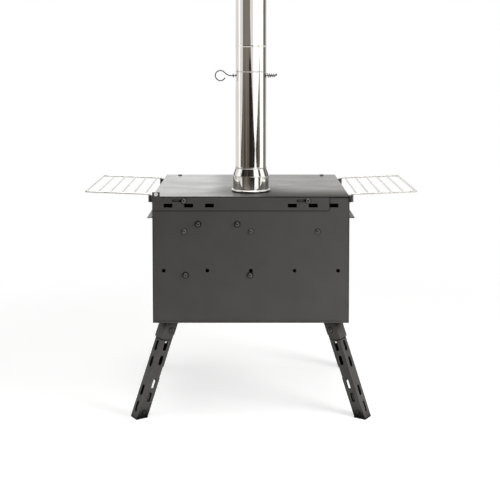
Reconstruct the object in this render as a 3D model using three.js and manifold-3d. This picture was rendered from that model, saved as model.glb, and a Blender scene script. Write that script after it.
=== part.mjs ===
// Tent wood stove: a folding camp stove of dark coated sheet steel, with a stainless flue
// pipe and damper, two lift-off wire shelves, four folding slotted legs, sliding air plates
// at the rear and the front, and a glazed door.
// Millimetres, +Z up. The origin is on the ground under the middle of the firebox.
// -Y is the rear, where the flue stands, and +Y is the front, where the door is.
import * as THREE from 'three';
import { mergeVertices } from 'three/addons/utils/BufferGeometryUtils.js';
import Module from 'manifold-3d';

const wasm = await Module();
wasm.setup();

// ---------------------------------------------------------------- driving dimensions
const BODY_WIDTH = 388;
const BODY_DEPTH = 350;
const BODY_UNDERSIDE = 196;
const BODY_TOP = 448;
const SHEET = 1.5;
const COOKTOP_SHEET = 2;
const SEAT_GAP = 0.3; // between pieces that touch on the real stove
const FASTENER_SIDES = 10;

const COOKTOP_BEND = 3;
const COOKTOP_LIP = 3.4;
const COOKTOP_RIVET_PLACE = 162.7; // from the middle
const COOKTOP_RIVET_SETBACK = 14; // from the front edge
const COOKTOP_RIVET_RADIUS = 4.2;
const COOKTOP_RIVET_HEIGHT = 2;
const PANEL_SIDE_SEAM = 0.6;
const PANEL_HEM = 3.4;
const PANEL_HEM_SEAM = 0.7;
const SEAT_FLANGE = 9;

const VENT_WIDTH = 17.7;
const VENT_HEIGHT = 7.8;
const VENT_PITCH = 40.8;
const VENT_GROUP_START = 81.5;
const VENTS_PER_GROUP = 3;
const VENT_BELOW_TOP = 18;
const SLIDER_HEIGHT = 25.5;
const SLIDER_SHEET = 1.2;
const SLIDER_TRAVEL = 20.4;
const SLIDER_BELOW_TOP = 2.2;
const SLIDER_CORNER = 2.5;
const TAB_WIDTH = 15;
const TAB_RISE = 8.4;
const TAB_HOLE_RADIUS = 3.9;
const GUIDE_ABOVE_VENTS = 9.5;
const GUIDE_SCREW_OFFSET = 9.7; // from the middle between two vents towards the stove's left
const GUIDE_SLACK = 0.4;
const SCREW_OPENING_REACH = 6;

const SCREW_SHANK_RADIUS = 2.2;
const SCREW_HEAD_RADIUS = 4.7;
const SCREW_HEAD_HEIGHT = 2.2;
const NUT_RADIUS = 3.8;
const NUT_HEIGHT = 3;
const STUD_RADIUS = 5;
const STUD_HEIGHT = 5;

const AIR_HOLE_RADIUS = 3.9;
const AIR_HOLE_PITCH = 86;
const AIR_HOLE_COUNT = 5;
const AIR_HOLE_HEIGHT = 300.5;

const LINER_FROM_SIDE = 12;
const LINER_WIDTH = BODY_WIDTH - 2 * LINER_FROM_SIDE;
const LINER_FOOT = 284;
const LINER_STANDOFF = 10;
const LINER_OUTLET_RADIUS = 3;
const LINER_OUTLET_COUNT = 9;
const LINER_OUTLET_PITCH = 36;
const LINER_OUTLET_HEIGHT = 322;

const RIVET_COLUMN = 131.5;
const UPPER_RIVET_HEIGHT = 378.4;
const LOWER_STUD_HEIGHT = 291.8;
const LOWER_STUD_LEFT = 128.8;
const LOWER_STUD_MIDDLE = 1.2;
const BAFFLE_STUD_HEIGHT = 393;
const BAFFLE_STUD_LEFT = 103.7;
const BAFFLE_STUD_RIGHT = 26.8;

const BAFFLE_SHORT_OF_LINER = 2;
const BAFFLE_WIDTH = LINER_WIDTH - 2 * BAFFLE_SHORT_OF_LINER;
const BAFFLE_REACH = 228;
const BAFFLE_ABOVE_STUD = 8;
const BAFFLE_FLANGE = 18;
const BAFFLE_LIP = 12;

const GRATE_WIDTH = 330;
const GRATE_DEPTH = 270;
const GRATE_SHEET = 3;
const GRATE_FOOT_HEIGHT = 14;
const GRATE_SLOT_COUNT = 8;
const GRATE_SLOT_WIDTH = 10;

const FLUE_FROM_REAR = 80;
const PIPE_RADIUS = 31.75;
const PIPE_WALL = 0.8;
const PIPE_SIDES = 32;
const SOCKET_RADIUS = 37;
const SOCKET_HEIGHT = 32;
const FLARE_HEIGHT = 11;
const RIM_ROLL_RADIUS = 2.4;
const RIM_OUTREACH = 2.6;
const PIPE_CREASE = 0.5;
const LOWER_PIPE_SHOULDER = 691;
const SPIGOT_LENGTH = 50;
const SPIGOT_CLEARANCE = 0.35;
const UPPER_PIPE_TOP = 920;
const STOP_BEAD_HEIGHT = 742.6;
const STOP_BEAD_RISE = 0.6;
const COLLAR_HEIGHT = 28;
const COLLAR_WALL = 1.2;
const COLLAR_FLANGE = 8;

const DAMPER_HEIGHT = 683.5;
const DAMPER_RADIUS = 28.6;
const DAMPER_SHEET = 1;
const KEY_WIRE_RADIUS = 1.2;
const KEY_SLACK = 0.35;
const KEY_LOOP_RADIUS = 10.3;
const KEY_LOOP_CENTRE = 61.9; // from the pipe's axis
const KEY_LOOP_END = -24; // degrees, where the open loop stops
const WASHER_OUTER = 3.7;
const WASHER_HEIGHT = 2.2;
const WASHER_FROM_AXIS = 34.6;
const SPRING_CURLS = 4;
const SPRING_WIRE = 1.4;
const SPRING_WIDE_RADIUS = 4.1;
const SPRING_NARROW_RADIUS = 2.9;
const SPRING_LENGTH = 18.5;
const CURL_STEPS = 8;
const CURL_SIDES = 5;
const KEY_TAIL = 2.6; // the shaft's bent end beyond the spring

const LEDGE_REACH = 10.4;
const LEDGE_HEIGHT = 406;
const LEDGE_SHEET = 1.2;
const LEDGE_FLANGE = 9;
const LEDGE_FLANGE_SETBACK = 20;

const SHELF_WIRE = 2;
const SHELF_BAR = 1.5;
const SHELF_REACH = 132;
const SHELF_ROOT = 4.6; // wire's end, from the firebox's side
const SHELF_REAR = 7; // from the firebox's rear
const SHELF_LENGTH = 254;
const SHELF_RISE = 5.2;
const SHELF_ABOVE_TOP = 3.5;
const SHELF_HEIGHT = BODY_TOP + SHELF_ABOVE_TOP;
const SHELF_CORNER = 4;
const SHELF_ROOT_BEND = 2.4;
const SHELF_DROP = 14;
const SHELF_BAR_COUNT = 5;
const SHELF_BAR_FIRST = 14.5;
const SHELF_BAR_PITCH = 23.2;
const SADDLE_HEIGHT = 13;
const SADDLE_WALL = 1.2;
const SADDLE_EAR = 5;
const WIRE_SLACK = 0.35;

const LEG_AZIMUTH = 32; // degrees from the firebox's width
const LEG_LEAN = 20.5;
const PIVOT_FROM_SIDE = 25.7;
const PIVOT_FROM_END = 52.5;
const PIVOT_DROP = 25.5; // below the firebox
const LEG_WEB = 26;
const LEG_FLANGE = 21.8;
const LEG_FLANGE_WIDE = 23.3; // the upper stretch, down to the step
const LEG_FLANGE_STEP = 75; // below the pivot, along the leg
const LEG_SHEET = 1.5;
const PIVOT_FROM_WEB = 13.9;
const FLANGE_SLOT_WIDTH = 7.8;
const FLANGE_SLOT_SHIFT = 1.2; // from the pivot towards the web
const FLANGE_SLOT_LENGTH = 20;
const FLANGE_SLOTS = [34.4, 63.6, 110.8, 139.2]; // below the pivot, along the leg
const WEB_SLOT_WIDTH = 10;
const WEB_SLOT_LENGTH = 22.5;
const WEB_SLOTS = [38, 71.2, 129.8, 163];
const BRACKET_SHEET = 1.6;
const BRACKET_SLACK = 0.35;
const BRACKET_FLANGE = 23.6;
const BRACKET_TAIL = 21.6;
const BRACKET_EDGE_TAIL = 6;
const PIVOT_RADIUS = 3;
const PIVOT_SLACK = 0.45;
const PIVOT_HEAD_RADIUS = 4.9;
const PIVOT_HEAD_HEIGHT = 1.6;
const FOOT_TOP = 98.2; // below the pivot, along the leg
const FOOT_FLANGE = 23.8;
const FOOT_SLOT_LOWER = 2.5; // the foot's flange slot, below the leg's
const FOOT_SHEET = 1.5;
const FOOT_SOLE = 1.6;
const FOOT_STUD = 170.4;
const FOOT_STUD_SHIFT = 1.9; // from the pivot towards the web
const FOOT_STUD_RADIUS = 2.4;
const FOOT_STUD_HEAD_RADIUS = 3.9;
const FOOT_STUD_HEAD_HEIGHT = 1.4;

const DOOR_WIDTH = 322;
const DOOR_HEIGHT = 190;
const DOOR_FOOT = 240;
const DOOR_SHEET = 2;
const DOOR_OVERLAP = 9;
const WINDOW_FROM_DOOR_SIDE = 53;
const WINDOW_WIDTH = DOOR_WIDTH - 2 * WINDOW_FROM_DOOR_SIDE;
const WINDOW_HEIGHT = 112;
const WINDOW_CORNER = 14;
const GLASS_OVERLAP = 10;
const GLASS_SHEET = 4;
const RETAINER_BORDER = 9;
const RETAINER_SETBACK = 2; // its opening, behind the window's edge
const RETAINER_SHEET = 1.2;
const HINGE_AXIS_OUT = 7; // hinge axis, in front of the front panel
const HINGE_AXIS_PAST_DOOR = 6;
const HINGE_PIN_RADIUS = 2.5;
const HINGE_SLACK = 0.3;
const KNUCKLE_WALL = 1.8;
const KNUCKLE_LENGTH = 20;
const KNUCKLE_ARM_ON_DOOR = 3;
const KNUCKLE_INSET = 26; // from the door's upper and lower edges
const HINGE_PLATE_WIDTH = 20;
const HINGE_PLATE_HEIGHT = 16;
const HINGE_LUG_SHEET = 3.5;
const FRONT_SLIDER_HEIGHT = 24;
const FRONT_SLIDER_FOOT = 205;

const LATCH_FROM_EDGE = 18;
const LATCH_LIFT = 42; // degrees: the latch stands lifted, and hooks in when turned down
const LATCH_SHEET = 3;
const LATCH_TONGUE = 38;
const LATCH_TONGUE_HEIGHT = 9;
const LATCH_HUB_RADIUS = 9;
const LATCH_GRIP_RADIUS = 4;
const LATCH_GRIP_LENGTH = 58;
const LATCH_GRIP_START = 14;
const LATCH_BOLT_RADIUS = 3;
const KEEPER_SHEET = 1.5;
const KEEPER_HEIGHT = 12;
const KEEPER_LIP = 14;

// ---------------------------------------------------------------- derived places
const HALF_WIDTH = BODY_WIDTH / 2;
const REAR = -BODY_DEPTH / 2;
const FRONT = BODY_DEPTH / 2;
const COOKTOP_UNDER = BODY_TOP - COOKTOP_SHEET;
const WALL_TOP = COOKTOP_UNDER - SEAT_GAP;
const LIP_FOOT = BODY_TOP - COOKTOP_LIP;
const VENT_ROW = BODY_TOP - VENT_BELOW_TOP;
const FRONT_VENT_ROW = FRONT_SLIDER_FOOT + VENT_HEIGHT / 2 + 3;
const FLUE_Y = REAR + FLUE_FROM_REAR;
const DOOR_MIDDLE = DOOR_FOOT + DOOR_HEIGHT / 2;

// ---------------------------------------------------------------- finishes
function finish(color, roughness, metalness) {
  return new THREE.MeshStandardMaterial({ color, roughness, metalness });
}
const coatedSteel = finish('#474643', 0.55, 0.3);
const coatedLegs = finish('#42413f', 0.6, 0.3);
const cooktopSteel = finish('#a9a8a4', 0.4, 0.6);
const polishedSteel = finish('#d9d8d4', 0.08, 1);
const wireSteel = finish('#e0e0dc', 0.2, 1);
const fastenerSteel = finish('#54524e', 0.45, 0.6);
const bareSteel = finish('#6a6762', 0.6, 0.6);
const stoveGlass = finish('#2b2a28', 0.05, 0);

const stove = new THREE.Group();

function addPiece(parent, name, geometry, material, x = 0, y = 0, z = 0) {
  const mesh = new THREE.Mesh(geometry, material);
  mesh.name = name;
  mesh.position.set(x, y, z);
  parent.add(mesh);
  return mesh;
}

// ---------------------------------------------------------------- solids and their joins
function toSolid(geometry) {
  const bare = geometry.clone();
  bare.deleteAttribute('normal');
  bare.deleteAttribute('uv');
  const merged = mergeVertices(bare, 1e-4);
  return new wasm.Manifold(new wasm.Mesh({
    numProp: 3,
    vertProperties: new Float32Array(merged.attributes.position.array),
    triVerts: new Uint32Array(merged.index.array),
  }));
}

function toGeometry(solid) {
  const mesh = solid.getMesh();
  const geometry = new THREE.BufferGeometry();
  geometry.setAttribute('position', new THREE.BufferAttribute(mesh.vertProperties, 3));
  geometry.setIndex(new THREE.BufferAttribute(mesh.triVerts, 1));
  return geometry;
}

function join(...geometries) {
  return toGeometry(geometries.map(toSolid).reduce((sum, solid) => sum.add(solid)));
}

function cut(geometry, ...tools) {
  return toGeometry(tools.map(toSolid).reduce((rest, tool) => rest.subtract(tool), toSolid(geometry)));
}

// ---------------------------------------------------------------- basic forms
function box(x0, x1, y0, y1, z0, z1) {
  const geometry = new THREE.BoxGeometry(x1 - x0, y1 - y0, z1 - z0);
  return geometry.translate((x0 + x1) / 2, (y0 + y1) / 2, (z0 + z1) / 2);
}

function outline(points) {
  return new THREE.Shape(points.map(([a, b]) => new THREE.Vector2(a, b)));
}

function roundedBox(halfWidth, bottom, top, radius) {
  const shape = new THREE.Shape();
  shape.moveTo(-halfWidth + radius, bottom);
  shape.lineTo(halfWidth - radius, bottom);
  shape.absarc(halfWidth - radius, bottom + radius, radius, -Math.PI / 2, 0);
  shape.absarc(halfWidth - radius, top - radius, radius, 0, Math.PI / 2);
  shape.absarc(-halfWidth + radius, top - radius, radius, Math.PI / 2, Math.PI);
  shape.absarc(-halfWidth + radius, bottom + radius, radius, Math.PI, Math.PI * 1.5);
  return shape;
}

function rectangle(x0, x1, y0, y1) {
  return outline([[x0, y0], [x1, y0], [x1, y1], [x0, y1]]);
}

function circle(x, y, radius) {
  return new THREE.Path().absarc(x, y, radius, 0, Math.PI).absarc(x, y, radius, Math.PI, Math.PI * 2);
}

// a slot with round ends, its length along the first or the second axis of the shape
function slot(x, y, length, width, upright = false) {
  const reach = (length - width) / 2;
  const radius = width / 2;
  const path = new THREE.Path();
  const turn = upright ? Math.PI / 2 : 0;
  const dx = upright ? 0 : reach;
  const dy = upright ? reach : 0;
  path.absarc(x + dx, y + dy, radius, turn - Math.PI / 2, turn + Math.PI / 2);
  path.absarc(x - dx, y - dy, radius, turn + Math.PI / 2, turn + Math.PI * 1.5);
  return path;
}

// a sheet from its outline, with each of the outline's holes cut through it
function extrude(shape, depth, curveSegments = 3) {
  const solid = (path, length) => new THREE.ExtrudeGeometry(
    new THREE.Shape(path.getPoints(curveSegments)), { depth: length, bevelEnabled: false, steps: 1 });
  if (shape.holes.length === 0) return solid(shape, depth);
  return cut(solid(shape, depth), ...shape.holes.map((hole) => solid(hole, depth + 2).translate(0, 0, -1)));
}

// an upright sheet drawn in X and Z, from y0 towards the front
function uprightSheet(shape, thickness, y0, curveSegments = 3) {
  return extrude(shape, thickness, curveSegments).rotateX(Math.PI / 2).translate(0, y0 + thickness, 0);
}

// a level sheet drawn in X and Y, from z0 upwards
function levelSheet(shape, thickness, z0, curveSegments = 3) {
  return extrude(shape, thickness, curveSegments).translate(0, 0, z0);
}

// a profile drawn in Y and Z, carried along X between two places
function alongX(shape, x0, x1, curveSegments = 3) {
  const turned = extrude(shape, x1 - x0, curveSegments).rotateZ(Math.PI / 2).rotateY(Math.PI / 2);
  return turned.translate(x0, 0, 0);
}

function turnedProfile(points, sides = FASTENER_SIDES) {
  return new THREE.LatheGeometry(points.map(([r, h]) => new THREE.Vector2(r, h)), sides);
}

// turned about an upright axis, heights along Z
function upright(points, sides) {
  return turnedProfile(points, sides).rotateX(Math.PI / 2);
}

function cylinderZ(radius, z0, z1, x = 0, y = 0, sides = 24) {
  const geometry = new THREE.CylinderGeometry(radius, radius, z1 - z0, sides).rotateX(Math.PI / 2);
  return geometry.translate(x, y, (z0 + z1) / 2);
}

function cylinderX(radius, x0, x1, y, z, sides = 16) {
  const geometry = new THREE.CylinderGeometry(radius, radius, x1 - x0, sides).rotateZ(Math.PI / 2);
  return geometry.translate((x0 + x1) / 2, y, z);
}

function cylinderY(radius, y0, y1, x, z, sides = 16) {
  const geometry = new THREE.CylinderGeometry(radius, radius, y1 - y0, sides);
  return geometry.translate(x, (y0 + y1) / 2, z);
}

// ---------------------------------------------------------------- wire
// a route through given points, sampled at the points themselves
class WireRoute extends THREE.Curve {
  constructor(points) {
    super();
    this.points = points;
  }

  getPoint(t, target = new THREE.Vector3()) {
    const place = t * (this.points.length - 1);
    const index = Math.min(Math.floor(place), this.points.length - 2);
    return target.lerpVectors(this.points[index], this.points[index + 1], place - index);
  }

  getUtoTmapping(u) {
    return u;
  }

  getTangent(t, target = new THREE.Vector3()) {
    const place = Math.round(t * (this.points.length - 1));
    const before = this.points[Math.max(place - 1, 0)];
    const after = this.points[Math.min(place + 1, this.points.length - 1)];
    return target.subVectors(after, before).normalize();
  }
}

function wire(points, radius, sides) {
  const section = new THREE.Shape();
  for (let i = 0; i < sides; i += 1) {
    const angle = (i / sides) * Math.PI * 2;
    const x = radius * Math.cos(angle);
    const y = radius * Math.sin(angle);
    if (i === 0) section.moveTo(x, y);
    else section.lineTo(x, y);
  }
  const extrudePath = new WireRoute(points);
  return new THREE.ExtrudeGeometry(section, { steps: points.length - 1, extrudePath });
}

// a wire route whose inner corners are each rounded with their own radius, in a few steps
function roundedRoute(corners, radii, steps = 3) {
  const points = [corners[0]];
  for (let i = 1; i < corners.length - 1; i += 1) {
    const radius = radii[i - 1];
    const before = new THREE.Vector3().subVectors(corners[i - 1], corners[i]).setLength(radius);
    const after = new THREE.Vector3().subVectors(corners[i + 1], corners[i]).setLength(radius);
    const start = corners[i].clone().add(before);
    const end = corners[i].clone().add(after);
    const bend = new THREE.QuadraticBezierCurve3(start, corners[i], end);
    points.push(...bend.getPoints(steps));
  }
  points.push(corners[corners.length - 1]);
  return points;
}

// ---------------------------------------------------------------- firebox sheets
function fireboxShell() {
  const outer = [
    [-HALF_WIDTH, WALL_TOP], [-HALF_WIDTH, BODY_UNDERSIDE],
    [HALF_WIDTH, BODY_UNDERSIDE], [HALF_WIDTH, WALL_TOP],
  ];
  const inner = HALF_WIDTH - SHEET;
  const floorTop = BODY_UNDERSIDE + SHEET;
  const wrap = outline([...outer,
    [inner, WALL_TOP], [inner, floorTop], [-inner, floorTop], [-inner, WALL_TOP]]);
  const pieces = [uprightSheet(wrap, BODY_DEPTH, REAR)];
  for (const end of [-1, 1]) {
    // a folded hem along the floor's edge, and the flanges that the end panel lies against
    const face = end * FRONT;
    const hem = [face, face - end * SHEET].sort((a, b) => a - b);
    const back = face - end * (SHEET + SEAT_GAP);
    const flange = [back, back - end * SHEET].sort((a, b) => a - b);
    pieces.push(box(-inner, inner, ...hem, BODY_UNDERSIDE, BODY_UNDERSIDE + PANEL_HEM));
    pieces.push(box(-inner, inner, ...flange, BODY_UNDERSIDE, floorTop + SEAT_FLANGE));
    for (const side of [-1, 1]) {
      const strip = [side * HALF_WIDTH - side * SHEET / 2, side * (inner - SEAT_FLANGE)];
      strip.sort((a, b) => a - b);
      pieces.push(box(...strip, ...flange, BODY_UNDERSIDE, WALL_TOP));
    }
  }
  // the side walls end below the cooktop's rear lip
  const lipRoom = box(-HALF_WIDTH - 1, HALF_WIDTH + 1, REAR - 1, REAR + COOKTOP_BEND + SEAT_GAP,
    LIP_FOOT - SEAT_GAP, BODY_TOP);
  return cut(join(...pieces), lipRoom);
}

function cooktop() {
  const rear = REAR + COOKTOP_BEND;
  const innerBend = COOKTOP_BEND - COOKTOP_SHEET;
  const profile = new THREE.Shape();
  profile.moveTo(FRONT, COOKTOP_UNDER);
  profile.lineTo(FRONT, BODY_TOP);
  profile.lineTo(rear, BODY_TOP);
  profile.absarc(rear, BODY_TOP - COOKTOP_BEND, COOKTOP_BEND, Math.PI / 2, Math.PI);
  profile.lineTo(REAR, LIP_FOOT);
  profile.lineTo(REAR + COOKTOP_SHEET, LIP_FOOT);
  profile.lineTo(REAR + COOKTOP_SHEET, BODY_TOP - COOKTOP_BEND);
  profile.absarc(rear, BODY_TOP - COOKTOP_BEND, innerBend, Math.PI, Math.PI / 2, true);
  const flueHole = cylinderZ(
    SOCKET_RADIUS - PIPE_WALL, COOKTOP_UNDER - 1, BODY_TOP + 1, 0, FLUE_Y, PIPE_SIDES);
  const plate = cut(alongX(profile, -HALF_WIDTH, HALF_WIDTH), flueHole);
  const rivets = [-1, 1].map((side) => cylinderZ(COOKTOP_RIVET_RADIUS, COOKTOP_UNDER + 0.5,
    BODY_TOP + COOKTOP_RIVET_HEIGHT, side * COOKTOP_RIVET_PLACE, FRONT - COOKTOP_RIVET_SETBACK, 14));
  return join(plate, ...rivets);
}

// the six vents' places along X, in two groups of three
function ventPlaces() {
  const places = [];
  for (const side of [-1, 1]) {
    for (let i = 0; i < VENTS_PER_GROUP; i += 1) {
      places.push(side * (VENT_GROUP_START + i * VENT_PITCH));
    }
  }
  return places.sort((a, b) => a - b);
}

function guideScrewPlaces() {
  const between = VENT_GROUP_START + VENT_PITCH;
  return [-between - GUIDE_SCREW_OFFSET, between - GUIDE_SCREW_OFFSET];
}

function vent(x, z) {
  return rectangle(x - VENT_WIDTH / 2, x + VENT_WIDTH / 2, z - VENT_HEIGHT / 2, z + VENT_HEIGHT / 2);
}

// a short slot in the panel behind a guide screw, open for some millimetres beside its head
function screwOpening(x, ventRow) {
  const radius = SCREW_SHANK_RADIUS + GUIDE_SLACK;
  const length = SCREW_OPENING_REACH + 2 * radius;
  return slot(x - SCREW_OPENING_REACH / 2, ventRow + GUIDE_ABOVE_VENTS, length, 2 * radius);
}

function panelShape() {
  const half = HALF_WIDTH - SHEET - PANEL_SIDE_SEAM;
  const foot = BODY_UNDERSIDE + PANEL_HEM + PANEL_HEM_SEAM;
  return { half, foot };
}

function airHolePlaces() {
  const middle = (AIR_HOLE_COUNT - 1) / 2;
  return Array.from({ length: AIR_HOLE_COUNT }, (_, i) => (i - middle) * AIR_HOLE_PITCH);
}

// fasteners that hold the rear liner and the baffle, as seen on the rear panel
const rearRivets = [
  { name: 'rear_rivet_left', x: -RIVET_COLUMN, z: UPPER_RIVET_HEIGHT, stud: false },
  { name: 'rear_rivet_middle', x: 0, z: UPPER_RIVET_HEIGHT, stud: false },
  { name: 'rear_rivet_right', x: RIVET_COLUMN, z: UPPER_RIVET_HEIGHT, stud: false },
  { name: 'rear_stud_left', x: -LOWER_STUD_LEFT, z: LOWER_STUD_HEIGHT, stud: true },
  { name: 'rear_stud_middle', x: -LOWER_STUD_MIDDLE, z: LOWER_STUD_HEIGHT, stud: true },
  { name: 'baffle_stud_left', x: -BAFFLE_STUD_LEFT, z: BAFFLE_STUD_HEIGHT, stud: true, baffle: true },
  { name: 'baffle_stud_right', x: -BAFFLE_STUD_RIGHT, z: BAFFLE_STUD_HEIGHT, stud: true, baffle: true },
];
const FASTENER_HOLE = SCREW_SHANK_RADIUS + SEAT_GAP;

function rearPanel() {
  const { half, foot } = panelShape();
  const shape = rectangle(-half, half, foot, LIP_FOOT - SEAT_GAP);
  shape.holes.push(...ventPlaces().map((x) => vent(x, VENT_ROW)));
  shape.holes.push(...airHolePlaces().map((x) => circle(x, AIR_HOLE_HEIGHT, AIR_HOLE_RADIUS)));
  for (const rivet of rearRivets) shape.holes.push(circle(rivet.x, rivet.z, FASTENER_HOLE));
  shape.holes.push(...guideScrewPlaces().map((x) => screwOpening(x, VENT_ROW)));
  return uprightSheet(shape, SHEET, REAR);
}

function frontPanel() {
  const { half, foot } = panelShape();
  const shape = rectangle(-half, half, foot, WALL_TOP);
  const doorway = DOOR_WIDTH / 2 - DOOR_OVERLAP;
  const sill = DOOR_FOOT + DOOR_OVERLAP;
  const lintel = DOOR_FOOT + DOOR_HEIGHT - DOOR_OVERLAP;
  shape.holes.push(rectangle(-doorway, doorway, sill, lintel));
  shape.holes.push(...ventPlaces().map((x) => vent(x, FRONT_VENT_ROW)));
  shape.holes.push(...guideScrewPlaces().map((x) => screwOpening(x, FRONT_VENT_ROW)));
  return uprightSheet(shape, SHEET, FRONT - SHEET);
}

// ---------------------------------------------------------------- air plates
// the plate's guide slot lets it travel to +X until the slot's end meets the screw
function guideSlot(screwX, z) {
  const radius = SCREW_SHANK_RADIUS + GUIDE_SLACK;
  const length = SLIDER_TRAVEL + 2 * radius;
  return slot(screwX - SLIDER_TRAVEL / 2, z, length, 2 * radius);
}

function sliderHoles(shape, ventRow) {
  shape.holes.push(...ventPlaces().slice(0, -1).map((x) => vent(x, ventRow)));
  shape.holes.push(...guideScrewPlaces().map((x) => guideSlot(x, ventRow + GUIDE_ABOVE_VENTS)));
}

// right end of the plate, level with the inner edge of the last vent, which it closes
function sliderEnd() {
  const places = ventPlaces();
  return places[places.length - 1] - VENT_WIDTH / 2;
}

function rearAirSlider() {
  const top = BODY_TOP - SLIDER_BELOW_TOP;
  const foot = top - SLIDER_HEIGHT;
  const end = sliderEnd();
  const shape = outline([
    [-HALF_WIDTH, foot], [end - SLIDER_CORNER, foot], [end, foot + SLIDER_CORNER], [end, top],
    [-HALF_WIDTH + TAB_WIDTH, top], [-HALF_WIDTH + TAB_WIDTH, BODY_TOP + TAB_RISE],
    [-HALF_WIDTH, BODY_TOP + TAB_RISE],
  ]);
  shape.holes.push(circle(-HALF_WIDTH + TAB_WIDTH / 2, BODY_TOP + TAB_RISE / 2, TAB_HOLE_RADIUS));
  sliderHoles(shape, VENT_ROW);
  return uprightSheet(shape, SLIDER_SHEET, REAR - SEAT_GAP - SLIDER_SHEET);
}

function frontAirSlider() {
  const places = ventPlaces();
  const start = places[0] - VENT_WIDTH / 2 - SLIDER_TRAVEL;
  const top = FRONT_SLIDER_FOOT + FRONT_SLIDER_HEIGHT;
  const shape = rectangle(start, sliderEnd(), FRONT_SLIDER_FOOT, top);
  sliderHoles(shape, FRONT_VENT_ROW);
  const face = FRONT + SEAT_GAP;
  const plate = uprightSheet(shape, SLIDER_SHEET, face);
  const pull = box(start, start + TAB_WIDTH, face, face + TAB_RISE + SLIDER_SHEET,
    top - SLIDER_SHEET, top);
  return join(plate, pull);
}

// head outside, shank through a grip of sheets, nut inside; the head's underside is at 0
function throughFastener(headRadius, headHeight, grip) {
  return turnedProfile([
    [0, grip + NUT_HEIGHT], [NUT_RADIUS, grip + NUT_HEIGHT], [NUT_RADIUS, grip],
    [SCREW_SHANK_RADIUS, grip], [SCREW_SHANK_RADIUS, 0], [headRadius, 0],
    [headRadius, -headHeight * 0.5], [headRadius * 0.7, -headHeight], [0, -headHeight],
  ].reverse());
}

// ---------------------------------------------------------------- inside the firebox
const LINER_FACE = REAR + SHEET + SEAT_GAP + LINER_STANDOFF; // the liner's side towards the fire
const LINER_HEAD = VENT_ROW + VENT_HEIGHT / 2 + SHEET;

function rearLiner() {
  const back = REAR + SHEET + SEAT_GAP;
  const profile = outline([
    [back, LINER_FOOT], [LINER_FACE, LINER_FOOT], [LINER_FACE, LINER_HEAD], [back, LINER_HEAD],
    [back, LINER_HEAD - SHEET], [LINER_FACE - SHEET, LINER_HEAD - SHEET],
    [LINER_FACE - SHEET, LINER_FOOT + SHEET], [back, LINER_FOOT + SHEET],
  ]);
  const half = LINER_WIDTH / 2;
  const bores = rearRivets.map((rivet) => (
    cylinderY(FASTENER_HOLE, back - 1, LINER_FACE + 1, rivet.x, rivet.z, FASTENER_SIDES)));
  const middle = (LINER_OUTLET_COUNT - 1) / 2;
  for (let i = 0; i < LINER_OUTLET_COUNT; i += 1) {
    const x = (i - middle) * LINER_OUTLET_PITCH;
    bores.push(cylinderY(LINER_OUTLET_RADIUS, LINER_FACE - 3, LINER_FACE + 1, x, LINER_OUTLET_HEIGHT, 8));
  }
  return cut(alongX(profile, -half, half), ...bores);
}

// a sheet that hangs from two studs at its rear flange and guides the smoke to the front
function bafflePlate() {
  const back = LINER_FACE + SEAT_GAP;
  const top = BAFFLE_STUD_HEIGHT + BAFFLE_ABOVE_STUD;
  const front = back + BAFFLE_REACH;
  const profile = outline([
    [back, top], [back, top - BAFFLE_FLANGE], [back + SHEET, top - BAFFLE_FLANGE],
    [back + SHEET, top - SHEET], [front - SHEET, top - SHEET], [front - SHEET, top - BAFFLE_LIP],
    [front, top - BAFFLE_LIP], [front, top],
  ]);
  const bores = rearRivets.filter((rivet) => rivet.baffle).map((rivet) => (
    cylinderY(FASTENER_HOLE, back - 1, back + SHEET + 1, rivet.x, rivet.z, FASTENER_SIDES)));
  return cut(alongX(profile, -BAFFLE_WIDTH / 2, BAFFLE_WIDTH / 2), ...bores);
}

function fireGrate() {
  const shape = rectangle(-GRATE_WIDTH / 2, GRATE_WIDTH / 2, -GRATE_DEPTH / 2, GRATE_DEPTH / 2);
  const pitch = GRATE_WIDTH / (GRATE_SLOT_COUNT + 1);
  for (let i = 1; i <= GRATE_SLOT_COUNT; i += 1) {
    const x = -GRATE_WIDTH / 2 + i * pitch;
    shape.holes.push(slot(x, 0, GRATE_DEPTH * 0.78, GRATE_SLOT_WIDTH, true));
  }
  const floor = BODY_UNDERSIDE + SHEET + SEAT_GAP;
  const plate = levelSheet(shape, GRATE_SHEET, floor + GRATE_FOOT_HEIGHT, 3);
  const runners = [-1, 1].map((end) => {
    const y = end * (GRATE_DEPTH / 2 - 12);
    return box(-GRATE_WIDTH / 2, GRATE_WIDTH / 2, y - 2, y + 2, floor, floor + GRATE_FOOT_HEIGHT + 1);
  });
  return join(plate, ...runners);
}

// ---------------------------------------------------------------- flue
function flueCollar() {
  const outer = SOCKET_RADIUS - PIPE_WALL - 0.4;
  const inner = outer - COLLAR_WALL;
  const flangeTop = COOKTOP_UNDER - SEAT_GAP;
  return upright([
    [inner, flangeTop - COLLAR_WALL], [outer + COLLAR_FLANGE, flangeTop - COLLAR_WALL],
    [outer + COLLAR_FLANGE, flangeTop], [outer, flangeTop],
    [outer, BODY_TOP + COLLAR_HEIGHT], [inner, BODY_TOP + COLLAR_HEIGHT],
    [inner, flangeTop - COLLAR_WALL],
  ], PIPE_SIDES);
}

// heights of the lower pipe's stages, shared by its outer and inner faces
const RIM_FOOT = BODY_TOP + SEAT_GAP;
const SOCKET_TOP_END = BODY_TOP + SOCKET_HEIGHT;
const FLARE_TOP = SOCKET_TOP_END + FLARE_HEIGHT;
const SPIGOT_RADIUS = PIPE_RADIUS - PIPE_WALL - SPIGOT_CLEARANCE;
const DAMPER_BORE = KEY_WIRE_RADIUS + KEY_SLACK;

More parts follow.
